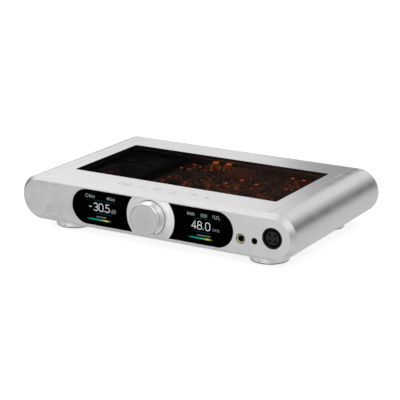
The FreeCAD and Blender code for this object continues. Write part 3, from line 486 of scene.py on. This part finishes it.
NODE_MATERIALS = {
    METAL_BEZEL_PAINTED_LIGHTER: ["knob_bezel"],
    METAL: ["front_fascia", "side_rail_right", "side_rail_left", "bottom_plate",
            "rear_panel", "foot_cups"],
    METAL_TOP: ["top_plate"],
    METAL_KNOB: ["volume_knob"],
    PANE: ["window_glass"],
    LENS: ["display_lens_right", "display_lens_left"],
    PANEL: ["display_module_right", "display_module_left"],
    RUBBER: ["window_gasket"],
    PAD_RUBBER: ["foot_pads"],
    STEEL: ["foot_screws", "top_plate_screws", "bottom_plate_screws", "rear_panel_screws",
            "socket_screws", "board_screws", "knob_grub_screw"],
    NICKEL: ["board_standoffs", "encoder_shaft", "encoder_nut", "xlr_outputs", "aes_shell",
             "usb_socket", "inlet_pins"],
    GOLD: ["xlr_output_pins", "phono_sockets"],
    RING_GOLD_PAINTED_SHADE: ["headphone_jack_ring", "xlr4_contacts"],
    SOCKET_BLACK: ["headphone_jack", "balanced_jack", "xlr4_shell", "xlr4_insert", "aes_insert"],
    BLACK: ["encoder_body", "encoder_plunger", "optical_input", "optical_shutter", "trigger_jacks",
            "inlet_body", "fuse_drawer", "power_rocker"],
    FUSE_GLASS: ["fuse"],
    MASK: ["front_board", "main_board", "power_board", "converter_board"],
    EPOXY: ["chips"],
    SLEEVE: ["capacitors"],
    RELAY: ["output_relays"],
    ANODISED: ["power_shield", "heat_sink"],
    TAPE: ["transformer"],
    CABLE: ["ribbon_cable", "mains_wiring"],
}


def dress_nodes():
    for material, names in NODE_MATERIALS.items():
        for name in names:
            data = nodes[name].data
            data.materials.clear()
            data.materials.append(material)


# ---- top plate with its row of engraved signs -------------------------------------------
SIGN_WIDTH = 0.5
SIGN_DEPTH = 0.3
SIGN_PLACES = ((-48, 21), (-39, 20), (-22, 20), (-3.5, 21), (16.5, 20), (39, 21), (55, 20))


def signs():
    """Seven plain engraved signs, as lists of strokes round a centre, in millimetres."""
    loop = circle(0, 0, 3.2, 24)
    plate = rounded(0, 0, 6.6, 5.0, 1.1)
    return [
        [loop + loop[:1]],
        [[(-3.4, -2.6), (0, 3.2), (3.4, -2.6), (-3.4, -2.6)]],
        [[(-3.8, 0), (-1.9, 3.0), (0, -3.0), (1.9, 3.0), (3.8, 0)]],
        [plate + plate[:1]],
        [[(-3.4, -2.8), (3.4, -2.8)], [(-2.2, 0), (2.2, 0)], [(-0.9, 2.8), (0.9, 2.8)]],
        [arc(0, -2.4, 3.2, 3.2, 160, 20), arc(0, -2.4, 5.4, 5.4, 140, 40)],
        [[(0, -3.2), (0, 3.2)], [(-3.2, 0), (3.2, 0)]],
    ]


def engraved_top():
    """A copy of the top plate with the signs cut into it; the cut faces take a darker aluminium, as
    painted shade in the engraved strokes.
    """
    cutter = Piece(TOP)
    for (x, depth), strokes in zip(SIGN_PLACES, signs()):
        for stroke in strokes:
            cutter.ribbon([(x + u, depth + v) for u, v in stroke], SIGN_WIDTH, -SIGN_DEPTH, 0.5)
    tool = cutter.mesh("sign_cutter", METAL_GROOVE_PAINTED_SHADE)
    plate = bpy.data.objects.new("top_plate_engraved", nodes["top_plate"].data.copy())
    bpy.context.scene.collection.objects.link(plate)
    plate.data.materials.append(METAL_GROOVE_PAINTED_SHADE)
    cut = plate.modifiers.new("signs", "BOOLEAN")
    cut.operation = "DIFFERENCE"
    cut.solver = "EXACT"
    cut.use_self = True
    cut.material_mode = "TRANSFER"
    cut.object = tool
    graph = bpy.context.evaluated_depsgraph_get()
    plate.data = bpy.data.meshes.new_from_object(plate.evaluated_get(graph))
    plate.modifiers.clear()
    bpy.data.objects.remove(tool)
    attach(plate, "chassis")
    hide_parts("top_plate")


# ---- display graphics -------------------------------------------------------------------
LIGHT_LOW = 0.03
LIGHT_HIGH = 0.12
GLYPHS = {
    "0": [arc(0.30, 0.68, 0.28, 0.32, 0, 180) + arc(0.30, 0.32, 0.28, 0.32, 180, 360)
          + [(0.58, 0.68)]],
    "3": [arc(0.28, 0.74, 0.27, 0.26, 155, -88) + arc(0.28, 0.25, 0.30, 0.25, 88, -155)],
    "4": [[(0.62, 0.27), (0.02, 0.27), (0.44, 1.0), (0.44, 0.0)]],
    "5": [[(0.54, 1.0), (0.10, 1.0), (0.06, 0.56)] + arc(0.27, 0.31, 0.30, 0.31, 128, -150)],
    "8": [arc(0.30, 0.76, 0.25, 0.24, -90, 270, 20), arc(0.30, 0.27, 0.29, 0.27, 90, 450, 20)],
    "-": [[(0.10, 0.45), (0.52, 0.45)]],
    ".": [[(0.06, 0.0), (0.06, 0.13)]],
    "d": [arc(0.26, 0.30, 0.24, 0.30, 0, 360, 16), [(0.50, 1.0), (0.50, 0.0)]],
    "B": [[(0.04, 0.0), (0.04, 1.0), (0.30, 1.0)] + arc(0.30, 0.77, 0.21, 0.23, 90, -90, 8)
          + [(0.04, 0.54), (0.30, 0.54)] + arc(0.30, 0.27, 0.24, 0.27, 90, -90, 8) + [(0.04, 0.0)]],
    "k": [[(0.04, 0.0), (0.04, 1.0)], [(0.46, 0.68), (0.06, 0.30)], [(0.20, 0.42), (0.50, 0.0)]],
    "H": [[(0.04, 0.0), (0.04, 1.0)], [(0.56, 0.0), (0.56, 1.0)], [(0.04, 0.5), (0.56, 0.5)]],
    "z": [[(0.04, 0.66), (0.46, 0.66), (0.04, 0.0), (0.48, 0.0)]],
}


GLYPH_WIDTH = 0.6        # of the shapes above, which are 1 high


def write(piece, row, base, height, stroke):
    """Draws a row of numerals or unit letters, each given with its left edge and width."""
    for glyph, left, width in row:
        for line in GLYPHS[glyph]:
            points = [(left + u * width / GLYPH_WIDTH, base + v * height) for u, v in line]
            piece.ribbon(points, stroke, LIGHT_LOW, LIGHT_HIGH)


BAR_CELL = 1.15
BAR_GAP = 0.12
BAR_HEIGHT = 1.7


def level_bar(name, left, right, level):
    """A row of small cells that is tapered at both ends."""
    bar = Piece(SCREEN)
    count = int((right - left) / BAR_CELL)
    for i in range(count):
        share = (i + 0.5) / count
        height = BAR_HEIGHT * min(1.0, 4.5 * share + 0.25, 5.0 * (1 - share) + 0.15)
        middle = left + BAR_CELL * (i + 0.5)
        bar.block(middle, level, BAR_CELL - BAR_GAP, height, LIGHT_LOW, LIGHT_HIGH)
    bar.finish(name, "display_light", spectrum_bar(name + "_light", left, right))


def icon_bars(piece, left, base, heights, pitch=1.5, width=0.8):
    for i, height in enumerate(heights):
        piece.block(left + pitch * i, base + height / 2, width, height, LIGHT_LOW, LIGHT_HIGH)


DASH_SHARE = 0.6
DASH_HEIGHT = 1.1


def small_dashes(piece, left, right, level, count):
    pitch = (right - left) / count
    for i in range(count):
        middle = left + pitch * (i + 0.5)
        piece.block(middle, level, pitch * DASH_SHARE, DASH_HEIGHT, LIGHT_LOW, LIGHT_HIGH)


LEVEL_DIGITS = (("-", -77.2, 3.8), ("3", -71.0, 5.2), ("0", -64.6, 5.4), (".", -58.3, 3.0),
                ("5", -56.4, 5.2))
RATE_DIGITS = (("4", 47.8, 5.4), ("8", 54.4, 5.4), (".", 61.0, 3.0), ("0", 63.8, 5.4))
LEVEL_UNIT = (("d", -50.0, 3.1), ("B", -46.4, 3.1))
RATE_UNIT = (("k", 72.6, 2.4), ("H", 75.2, 2.6), ("z", 78.2, 2.3))
DIGIT_HEIGHT, DIGIT_STROKE = 8.3, 0.66
UNDERLINES = ((-72.5, -43.8, 7.6), (-68.7, -48.0, -6.3), (50.5, 70.5, 7.6), (53.0, 70.5, -6.5))
UNDERLINE_WIDTH = 0.3
ICON_RING = (-79.4, 11.6, 2.0, 1.45)
SPEAKER = [(-54.6, 10.6), (-53.2, 10.6), (-51.6, 9.4), (-51.6, 13.6), (-53.2, 12.4), (-54.6, 12.4)]
SQUARE_WAVE = [(72.4, 9.7), (72.4, 12.7), (74.6, 12.7), (74.6, 9.7), (76.8, 9.7), (76.8, 12.7),
               (79.0, 12.7), (79.0, 9.7), (80.6, 9.7)]
WAVE_STROKE = 0.55
BAR_LEVEL = -13.2


def display_icons(light):
    """Plain icons and bars: a ring, a speaker, a framed box and a square wave."""
    icons = Piece(SCREEN)
    icons.ring(*ICON_RING, LIGHT_LOW, LIGHT_HIGH, 24)
    icon_bars(icons, -76.0, 9.9, (3.4, 2.3, 2.9, 1.8, 2.4))
    icons.prism(SPEAKER, LIGHT_LOW, LIGHT_HIGH)
    icon_bars(icons, -49.8, 9.9, (3.2, 1.9, 2.6, 2.6))
    small_dashes(icons, -67.8, -55.6, -10.0, 7)
    icon_bars(icons, 43.2, 9.6, (3.2, 2.4, 3.2, 2.4, 3.2, 2.4))
    frame_out, frame_in = rounded(61.9, 11.1, 7.4, 3.2, 0.7), rounded(61.9, 11.1, 6.5, 2.3, 0.5)
    icons.tube(frame_out, frame_in, LIGHT_LOW, LIGHT_HIGH)
    icon_bars(icons, 60.2, 10.4, (1.4, 1.4, 1.4), 1.7)
    icons.ribbon(SQUARE_WAVE, WAVE_STROKE, LIGHT_LOW, LIGHT_HIGH)
    small_dashes(icons, 54.0, 69.6, -10.0, 9)
    icons.finish("display_icons", "display_light", light)


def display_graphics():
    white = lit("display_white", (0.95, 0.97, 1.0), 10.5)
    soft = lit("display_soft_white", (0.45, 0.47, 0.50), 7.0)
    teal = lit("display_teal", (0.01, 0.15, 0.15), 5.5)

    numbers, units = Piece(SCREEN), Piece(SCREEN)
    write(numbers, LEVEL_DIGITS, -3.6, DIGIT_HEIGHT, DIGIT_STROKE)
    write(numbers, RATE_DIGITS, -3.9, DIGIT_HEIGHT, DIGIT_STROKE)
    write(units, LEVEL_UNIT, -3.7, 4.2, 0.40)
    write(units, RATE_UNIT, -3.6, 3.0, 0.32)
    numbers.finish("display_numbers", "display_light", white)
    units.finish("display_units", "display_light", soft)
    display_icons(soft)

    lines = Piece(SCREEN)
    for left, right, level in UNDERLINES:
        lines.ribbon([(left, level), (right, level)], UNDERLINE_WIDTH, LIGHT_LOW, LIGHT_HIGH)
    lines.finish("display_lines", "display_light", teal)

    level_bar("level_bar_left", -79.5, -48.8, BAR_LEVEL)
    level_bar("level_bar_right", 43.5, 73.2, BAR_LEVEL)


# ---- printed marks on the face ----------------------------------------------------------
PRINT_HIGH = 0.02
TOP_MARKS = 7
TOP_MARK_LEFT, TOP_MARK_PITCH, TOP_MARK_WIDTH = -136.6, 3.5, 2.4
TOP_MARK_LEVEL = 17.3
BADGE_X, BADGE_Z = -128.0, -9.8
LOW_MARKS = ((-120.6, -117.4, -10.0), (-116.6, -112.7, -10.0), (-138.0, -130.9, -18.0),
             (-129.0, -115.6, -18.0))
LOW_MARK_HEIGHT = 1.1


def face_marks():
    """Plain bars and a plain badge where the face is printed; they say nothing."""
    marks = Piece(FACE)
    for i in range(TOP_MARKS):
        x = TOP_MARK_LEFT + TOP_MARK_PITCH * i
        height = (3.2, 2.2)[i % 2]
        marks.block(x, TOP_MARK_LEVEL, TOP_MARK_WIDTH, height, 0, PRINT_HIGH)
    border = rounded(BADGE_X, BADGE_Z, 7.3, 7.3, 0.8)
    hole = rounded(BADGE_X, BADGE_Z, 4.4, 4.4, 0.5)
    marks.tube(border, hole, 0, PRINT_HIGH)
    for shift in (-1.0, 0.0, 1.0):
        marks.block(BADGE_X + shift, BADGE_Z, 0.6, 3.0, 0, PRINT_HIGH)
    for left, right, level in LOW_MARKS:
        marks.block((left + right) / 2, level, right - left, LOW_MARK_HEIGHT, 0, PRINT_HIGH)
    marks.finish("face_marks", "print_grey", PRINT)


# ---- sockets on the face ----------------------------------------------------------------
SPRING_CIRCLE = 2.75
SPRING_TURNS = (25, 145, 265)
SPRING_BACK, SPRING_SHOULDER, SPRING_TIP = -16.0, -7.5, -6.2


def on_face(low, high):
    """The middle of a node's box as u and v on the face."""
    return (low.x + high.x) / 2 / MM, ((low.z + high.z) / 2 - mid_z) / MM


def jack_springs(jx, jz):
    contacts = Piece(FACE)
    for turn in SPRING_TURNS:
        u = jx + SPRING_CIRCLE * math.cos(math.radians(turn))
        v = jz + SPRING_CIRCLE * math.sin(math.radians(turn))
        blade, tip = rounded(u, v, 0.9, 0.9, 0.3, 3), rounded(u, v, 0.5, 0.5, 0.15, 3)
        contacts.loft([(blade, SPRING_BACK), (blade, SPRING_SHOULDER), (tip, SPRING_TIP)])
    contacts.finish("headphone_jack_springs", "gold_contact", GOLD)


def xlr_rim():
    """The black rim round the 4-pin socket and the collar on the front of its insert."""
    rim = Piece(FACE)
    cx, cz = on_face(xlr_low, xlr_high)
    rim.ring(cx, cz, 10.95, 10.35, -0.19, 0.0, 64)
    insert_radius = (xlr_high.x - xlr_low.x) / 2 / MM
    insert_face = (front_y - xlr_low.y) / MM
    rim.ring(cx, cz, insert_radius - 0.05, 7.05, insert_face, insert_face + 0.15, 64)
    rim.finish("xlr4_rim", "black_plastic", RIM_BLACK)


def front_socket_details():
    jx, jz = on_face(*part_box("headphone_jack_ring"))
    jack_springs(jx, jz)
    xlr_rim()
    lip = Piece(FACE)
    lip.dish(jx, jz, 4.10, 3.35, -0.95, -0.12, -0.56, 48)
    lip.finish("headphone_jack_lip", "gold_contact", LIP_GOLD)
    small_x, _ = on_face(*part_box("balanced_jack"))
    ring = Piece(FACE)
    ring.ring(small_x, jz, 3.3, 2.8, -0.48, -0.02, 48)
    # the rim's gold is painted dark, as painted shade
    ring.finish("balanced_jack_rim", "gold_contact", RIM_GOLD_PAINTED_SHADE)


SEAM_OUTER, SEAM_INNER = 16.62, 16.40


def knob_seam():
    """The thin dark line between the knob's face and its polished edge."""
    reach = (front_y - knob_low.y) / MM
    seam = Piece(FACE)
    seam.ring(0, 0, SEAM_OUTER, SEAM_INNER, reach - 0.5, reach - 0.02, 96)
    seam.finish("knob_face_seam", "knob_aluminium", SEAM, body="knob")


# ---- under the window -------------------------------------------------------------------
AMBER = lit("amber_lamp", (1.0, 0.20, 0.03), 1.9)
# Apart from the lamps' own amber light, the glows below are painted light on tracks, parts, light
# guides and film capacitors, which are no lamps.
AMBER_PAINTED_GLOW = lit("amber_part_painted_glow", (0.80, 0.17, 0.03), 0.95)
EMBER_PAINTED_GLOW = lit("ember_painted_glow", (0.42, 0.085, 0.022), 0.8)
COPPER_PAINTED_GLOW = lit("copper_trace_painted_glow", (0.34, 0.075, 0.028), 0.75)
RED_GLOW = lit("red_glow", (0.13, 0.030, 0.014), 0.8)
BUS_PAINTED_GLOW = lit("bus_trace_painted_glow", (0.14, 0.034, 0.016), 0.8)
FILM = moulded("film_capacitor", (0.42, 0.13, 0.05), 0.4)
TERMINAL = plated("tinned_terminal", (0.22, 0.21, 0.20), 0.4)


TRACK_SEED, TRACKS, TRACK_STEP = 11, 150, 13.0
TRACK_WIDTHS = (0.25, 0.35, 0.6)
TRACK_ZONE = (-44, 112, 66, 156)        # left, right, front and back
GLOW_FROM_X = 20                      # beyond it more of the tracks glow, as painted light
BOARD_MARGIN = 2.0


def trace_path(rng, x, y, heading, legs):
    """A track that turns by 45 degrees at a time and keeps roughly to its first heading."""
    points = [(x, y)]
    turn = heading
    for _ in range(legs):
        length = rng.uniform(0.4, 1.0) * TRACK_STEP
        x += length * math.cos(math.radians(turn))
        y += length * math.sin(math.radians(turn))
        points.append((x, y))
        turn = heading + rng.choice((-45, 0, 45))
        if turn == heading and rng.random() < 0.5:
            turn = heading + 45
    return points


def inside_board(points):
    low_x, high_x = board_low.x / MM + BOARD_MARGIN, board_high.x / MM - BOARD_MARGIN
    low_y = (board_low.y - front_y) / MM + BOARD_MARGIN
    high_y = (board_high.y - front_y) / MM - BOARD_MARGIN
    return all(low_x < x < high_x and low_y < y < high_y for x, y in points)


def board_tracks():
    """Seeded tracks on the board, some of them copper that glows as painted light."""
    rng = random.Random(TRACK_SEED)
    glowing_tracks, dull = Piece(BOARD), Piece(BOARD)
    made = 0
    while made < TRACKS:
        x = rng.uniform(*TRACK_ZONE[:2])
        y = rng.uniform(*TRACK_ZONE[2:])
        heading = rng.choice((0, 90, 180, 270))
        lane = trace_path(rng, x, y, heading, rng.randint(2, 5))
        if not inside_board(lane):
            continue
        target = glowing_tracks if rng.random() < 0.15 + 0.3 * (x > GLOW_FROM_X) else dull
        target.ribbon(lane, rng.choice(TRACK_WIDTHS), 0.0, 0.04)
        made += 1
    glowing_tracks.finish("board_tracks_lit", "lamp_orange", COPPER_PAINTED_GLOW)
    dull.finish("board_tracks", "circuit_board", FILM)


END_CAP = 0.5            # length of a part's tinned end


def chip_part(bodies, ends, x, y, length, width, height, upright):
    """A surface-mounted part: a chamfered body between two tinned ends."""
    size = (width, length) if upright else (length, width)
    bodies.block(x, y, size[0], size[1], 0.02, height, 0.12)
    shift = length / 2 + END_CAP / 2
    for side in (-1, 1):
        ex = x if upright else x + side * shift
        ey = y + side * shift if upright else y
        cap = (width, END_CAP) if upright else (END_CAP, width)
        ends.block(ex, ey, cap[0], cap[1], 0.0, height * 0.9)


PART_SEED = 5
PART_PITCH = 1.5         # the grid that the parts stand on
PART_CLEAR_X, PART_CLEAR_Y = 2.9, 2.4      # least distance between two parts
PART_SIZES = ((2.0, 1.1), (3.0, 1.6), (1.5, 0.9))
PART_KINDS = ("amber", "ember", "film", "black")
# left, right, front and back of each zone, tries, and the shares of the four kinds
PART_ZONES = ((-42, 68, 76, 107, 210, (5, 6, 3, 3)), (68, 114, 76, 107, 50, (1, 4, 4, 3)),
              (-4, 114, 107, 128, 90, (1, 3, 4, 4)), (-42, 4, 132, 158, 50, (1, 2, 2, 4)),
              (8, 114, 128, 157, 90, (1, 2, 4, 4)))


def small_parts():
    """Seeded rows of surface-mounted parts, dense along the front of the board."""
    rng = random.Random(PART_SEED)
    kinds = {kind: Piece(BOARD) for kind in PART_KINDS}
    ends = Piece(BOARD)
    taken = []
    for x0, x1, y0, y1, count, shares in PART_ZONES:
        for _ in range(count):
            x = round(rng.uniform(x0, x1) / PART_PITCH) * PART_PITCH
            y = round(rng.uniform(y0, y1) / PART_PITCH) * PART_PITCH
            if any(abs(x - a) < PART_CLEAR_X and abs(y - b) < PART_CLEAR_Y for a, b in taken):
                continue
            taken.append((x, y))
            bodies = kinds[rng.choices(PART_KINDS, shares)[0]]
            length, width = rng.choice(PART_SIZES)
            height = rng.uniform(0.6, 1.3)
            chip_part(bodies, ends, x, y, length, width, height, rng.random() < 0.35)
    # the amber and ember parts glow as painted light; they are no lamps
    kinds["amber"].finish("board_parts_bright", "lamp_orange", AMBER_PAINTED_GLOW)
    kinds["ember"].finish("board_parts_lit", "lamp_orange", EMBER_PAINTED_GLOW)
    kinds["film"].finish("board_parts_film", "component_black", FILM)
    kinds["black"].finish("board_parts_black", "component_black", EPOXY)
    ends.finish("board_part_ends", "nickel_plate", TERMINAL)


def slanted_bar(piece, start, end, w_start, w_end, width):
    """A square bar that runs down from one place and height to another."""
    piece.loft([(rectangle(*start, width, width), w_start), (rectangle(*end, width, width), w_end)])


TALL_LAMP, SMALL_LAMP = 6.6, 1.0        # height of a lamp's foot over the board
TALL_LAMPS = ((-11.0, 154.0, 3.6), (5.0, 154.5, 3.4))
SMALL_LAMPS = ((39.5, 122.0, 1.8), (60.0, 116.0, 1.8), (-43.0, 133.0, 1.4), (-38.0, 152.0, 1.3),
               (83.0, 156.0, 1.8), (97.0, 155.0, 1.8), (30.0, 104.0, 1.2), (48.0, 92.0, 1.2))
LAMP_DOME = ((1.0, 0.0), (0.95, 0.3), (0.75, 0.6), (0.4, 0.8))
GUIDES = ((-155, 9), (-132, 13), (-108, 9), (-84, 17), (-60, 10), (-24, 8))     # turn and reach
GUIDE_END = 2.6
GUIDE_WIDTH = 0.7
LAMP_TRACKS = ([(83, 152), (84, 140), (88, 128)], [(97, 151), (98, 138), (98, 126)],
               [(75, 156), (80, 156)], [(86, 156), (93, 156)], [(100, 155), (108, 155), (110, 146)],
               [(60, 112), (60, 106), (52, 102)], [(40, 118), (40, 108), (34, 104)])
LAMP_TRACK_WIDTH = 0.9


def lamps():
    """The warm lamps: two tall ones close under the glass, and several small ones."""
    domes, collars = Piece(BOARD), Piece(BOARD)
    for places, foot in ((TALL_LAMPS, TALL_LAMP), (SMALL_LAMPS, SMALL_LAMP)):
        for x, y, radius in places:
            domes.loft([(circle(x, y, radius * share, 24), foot + rise)
                        for share, rise in LAMP_DOME])
            collars.ring(x, y, radius + 0.5, radius + 0.05, foot - 0.9, foot + 0.1, 24)
            collars.prism(circle(x, y, radius * 0.5, 16), 0.0, foot - 0.05)
    domes.finish("warm_lamps", "lamp_orange", AMBER)
    collars.finish("lamp_stands", "component_black", EPOXY)


def light_guides():
    """Bars that run down to the board from each of the tall lamps, glowing as painted light."""
    guides = Piece(BOARD)
    for x, y, radius in TALL_LAMPS:
        for turn, reach in GUIDES:
            angle = math.radians(turn)
            start = (x + radius * math.cos(angle), y + radius * math.sin(angle))
            end = (x + reach * math.cos(angle), y + reach * math.sin(angle))
            slanted_bar(guides, start, end, TALL_LAMP - 0.4, GUIDE_END, GUIDE_WIDTH)
    guides.finish("light_guides", "lamp_orange", AMBER_PAINTED_GLOW)


def lamp_tracks():
    # tracks near the small lamps, glowing as painted light
    lit_tracks = Piece(BOARD)
    for path in LAMP_TRACKS:
        lit_tracks.ribbon(path, LAMP_TRACK_WIDTH, 0.0, 0.06)
    lit_tracks.finish("lamp_tracks", "lamp_orange", EMBER_PAINTED_GLOW)


FILM_COLUMNS = (18.0, 27.0, 36.0)
FILM_ROWS = ((132.0, 5.4), (140.0, 7.4), (149.5, 8.4))      # place and length
FILM_WIDTH, FILM_HEIGHT = 6.8, 5.6


def film_blocks():
    """Film capacitors that stand in rows at the middle of the board; they glow red as painted
    light.
    """
    boxes = Piece(BOARD)
    for x in FILM_COLUMNS:
        for y, length in FILM_ROWS:
            boxes.block(x, y, FILM_WIDTH, length, 0.1, FILM_HEIGHT, 0.4)
    boxes.finish("film_capacitors", "lamp_orange", RED_GLOW)


BUS_SEED, BUS_ROWS = 3, 22
BUS_FRONT, BUS_PITCH = 70.0, 1.9
BUS_END = 112.0
BUS_WIDTH = 0.45


def bus_lines():
    """Long parallel tracks along the front of the board, glowing as painted light."""
    rng = random.Random(BUS_SEED)
    lines = Piece(BOARD)
    for i in range(BUS_ROWS):
        y = BUS_FRONT + BUS_PITCH * i
        for _ in range(2):
            left = rng.uniform(-30, 84)
            right = min(BUS_END, left + rng.uniform(14, 46))
            lines.ribbon([(left, y), (right, y)], BUS_WIDTH, 0.0, 0.05)
    lines.finish("bus_lines", "lamp_orange", BUS_PAINTED_GLOW)


# middle, width and depth of the low plates on the shield
SHIELD_PLATES = ((-94, 112, 14, 7), (-78, 108, 16, 9), (-108, 128, 20, 6), (-76, 128, 14, 8),
                 (-112, 76, 10, 8))
SHIELD_FINS, FIN_FRONT, FIN_PITCH = 9, 136.0, 1.9
STATUS_LIGHTS, STATUS_FRONT, STATUS_PITCH = 8, 69.5, 2.4


def shield_details():
    """Low plates, fins and a row of dim lights on the power shield."""
    plate = Piece(SHIELD)
    plate.block(-109.5, 95.5, 13.0, 18.0, 0.0, 0.5, 0.2)
    for x, y, width, height in SHIELD_PLATES:
        plate.block(x, y, width, height, 0.0, 0.25, 0.1)
    for i in range(SHIELD_FINS):
        y = FIN_FRONT + FIN_PITCH * i
        plate.ribbon([(-84.0, y), (-64.0, y)], 0.5, 0.0, 0.15)
    plate.finish("shield_plates", "sink_black", ANODISED_PLATE)
    glow = Piece(SHIELD)
    for i in range(STATUS_LIGHTS):
        glow.block(-97.6, STATUS_FRONT + STATUS_PITCH * i, (8.0, 5.0, 6.5)[i % 3], 1.5, 0.0, 0.1)
    glow.finish("shield_status_light", "lamp_orange", RED_GLOW)


# ---- studio -----------------------------------------------------------------------------
CAMERA_AZIMUTH = 30.4115
CAMERA_ELEVATION = 16.5526
CAMERA_DISTANCE = 1.6062
CAMERA_LENS = 134.156
SENSOR_WIDTH = 36.0
CAMERA_TARGET = Vector((-0.000224, front_y + 0.1005, mid_z - 0.007084))


def camera():
    az, el = math.radians(CAMERA_AZIMUTH), math.radians(CAMERA_ELEVATION)
    back = Vector((math.sin(az) * math.cos(el), -math.cos(az) * math.cos(el), math.sin(el)))
    data = bpy.data.cameras.new("camera")
    data.lens = CAMERA_LENS
    data.sensor_width = SENSOR_WIDTH
    data.clip_end = 100.0
    obj = bpy.data.objects.new("camera", data)
    obj.location = CAMERA_TARGET + back * CAMERA_DISTANCE
    obj.rotation_euler = (-back).to_track_quat("-Z", "Y").to_euler()
    bpy.context.scene.collection.objects.link(obj)
    bpy.context.scene.camera = obj


FLOOR_REACH = 6.0
FLOOR_LIGHT = 0.62       # the floor's own faint light, which keeps it near white


def floor():
    reach = FLOOR_REACH
    corners = [(-reach, -reach, 0), (reach, -reach, 0), (reach, reach, 0), (-reach, reach, 0)]
    data = bpy.data.meshes.new("floor")
    data.from_pydata(corners, [], [(0, 1, 2, 3)])
    obj = bpy.data.objects.new("floor", data)
    bpy.context.scene.collection.objects.link(obj)
    surface = Surface("floor_paper", (0.80, 0.80, 0.80), roughness=0.9, Specular_IOR_Level=0.0)
    surface.relief(surface.even_noise(300.0), 0.0001, 0.1)
    surface.set("Emission Color", (1, 1, 1, 1))
    surface.set("Emission Strength", FLOOR_LIGHT)
    data.materials.append(surface.material)
    obj.visible_glossy = False


# direction, inner and outer angle in degrees, and what it adds to the light from there
WORLD_LEVEL = 0.536
WORLD_LOBES = [
    ((-0.42, -0.85, -0.31), 5, 45, 0.495),
    ((-0.31, -0.80, -0.19), 3, 12, 1.2),
    ((-0.45, -0.84, -0.30), 3, 16, -0.193),
    ((-0.28, -0.80, -0.45), 4, 25, -0.60),
    ((-0.55, -0.80, -0.28), 3, 15, -0.507),
    ((-0.55, -0.12, 0.82), 6, 40, 0.451),
    ((-0.38, 0.88, 0.25), 3, 14, -0.524),
    ((-0.44, 0.86, 0.20), 4, 18, -0.429),
    ((-0.29, 0.86, 0.42), 4, 20, 0.448),
    ((0.22, 0.86, 0.45), 4, 20, 0.387),
    ((0.43, 0.86, 0.27), 4, 22, -0.467),
    ((0.20, 0.86, -0.50), 8, 40, 0.11),
    ((0.10, -0.80, 0.55), 8, 34, 0.38),
    ((0.60, -0.72, 0.34), 8, 40, 0.34),
    ((0.10, -0.80, -0.58), 6, 24, 0.40),
    ((0.14, -0.13, -0.98), 3, 10, -0.50),
    ((0.48, -0.34, 0.80), 7, 30, 0.38),
    ((0.93, -0.34, 0.13), 3, 13, -0.48),
    ((0.72, -0.16, -0.66), 7, 28, 0.16),
    ((-0.08, 0.24, -0.97), 8, 32, 0.16),
    ((-0.93, 0.36, 0.08), 4, 26, -0.42),
]


def add_lobe(tree, direction, total, towards, inner, outer, amount):
    """Adds one soft patch of light to the total, or takes it away, and returns the new total."""
    dot = tree.nodes.new("ShaderNodeVectorMath")
    dot.operation = "DOT_PRODUCT"
    dot.inputs[1].default_value = Vector(towards).normalized()
    tree.links.new(direction, dot.inputs[0])
    lobe = tree.nodes.new("ShaderNodeMapRange")
    lobe.interpolation_type = "SMOOTHSTEP"
    lobe.inputs["From Min"].default_value = math.cos(math.radians(outer))
    lobe.inputs["From Max"].default_value = math.cos(math.radians(inner))
    lobe.inputs["To Max"].default_value = amount
    tree.links.new(dot.outputs["Value"], lobe.inputs["Value"])
    add = tree.nodes.new("ShaderNodeMath")
    add.operation = "ADD"
    add.inputs[1].default_value = WORLD_LEVEL
    if total:
        tree.links.new(total, add.inputs[1])
    tree.links.new(lobe.outputs["Result"], add.inputs[0])
    return add.outputs[0]


def studio_world():
    """An even white studio whose soft patches show only in reflections and on surfaces."""
    world = bpy.data.worlds.new("studio")
    world.use_nodes = True
    tree = world.node_tree
    tree.nodes.clear()
    direction = tree.nodes.new("ShaderNodeTexCoord").outputs["Generated"]
    total = None
    for lobe in WORLD_LOBES:
        total = add_lobe(tree, direction, total, *lobe)
    lowest = tree.nodes.new("ShaderNodeMath")
    lowest.operation = "MAXIMUM"
    lowest.inputs[1].default_value = 0.0
    tree.links.new(total, lowest.inputs[0])
    studio_light = tree.nodes.new("ShaderNodeBackground")
    tree.links.new(lowest.outputs[0], studio_light.inputs["Strength"])
    plain = tree.nodes.new("ShaderNodeBackground")
    mix = tree.nodes.new("ShaderNodeMixShader")
    camera_ray = tree.nodes.new("ShaderNodeLightPath").outputs["Is Camera Ray"]
    tree.links.new(camera_ray, mix.inputs["Fac"])
    tree.links.new(studio_light.outputs[0], mix.inputs[1])
    tree.links.new(plain.outputs[0], mix.inputs[2])
    output = tree.nodes.new("ShaderNodeOutputWorld")
    tree.links.new(mix.outputs[0], output.inputs["Surface"])
    for background in (studio_light, plain):
        background.inputs["Color"].default_value = (1, 1, 1, 1)
    bpy.context.scene.world = world


SOFTBOX_PLACE = (-0.42, 0.33, 0.36)
SOFTBOX_TOWARDS = (-0.05, 0.0, 0.05)
SOFTBOX_SIZE = (0.75, 0.5)
SOFTBOX_RADIANCE = 0.642


def softbox(name, place, towards, size, radiance):
    """A flat light of even brightness that the camera itself can't see."""
    data = bpy.data.lights.new(name, "AREA")
    data.shape = "RECTANGLE"
    data.size, data.size_y = size
    data.energy = radiance * math.pi * size[0] * size[1]
    obj = bpy.data.objects.new(name, data)
    obj.location = place
    obj.rotation_euler = (Vector(towards) - Vector(place)).to_track_quat("-Z", "Y").to_euler()
    obj.visible_camera = False
    bpy.context.scene.collection.objects.link(obj)


def studio():
    floor()
    studio_world()
    softbox("softbox_back", SOFTBOX_PLACE, SOFTBOX_TOWARDS, SOFTBOX_SIZE, SOFTBOX_RADIANCE)
    bpy.context.scene.view_settings.view_transform = "Standard"
    camera()


dress_nodes()
engraved_top()
display_graphics()
face_marks()
front_socket_details()
knob_seam()
board_tracks()
small_parts()
lamps()
light_guides()
lamp_tracks()
film_blocks()
bus_lines()
shield_details()
studio()
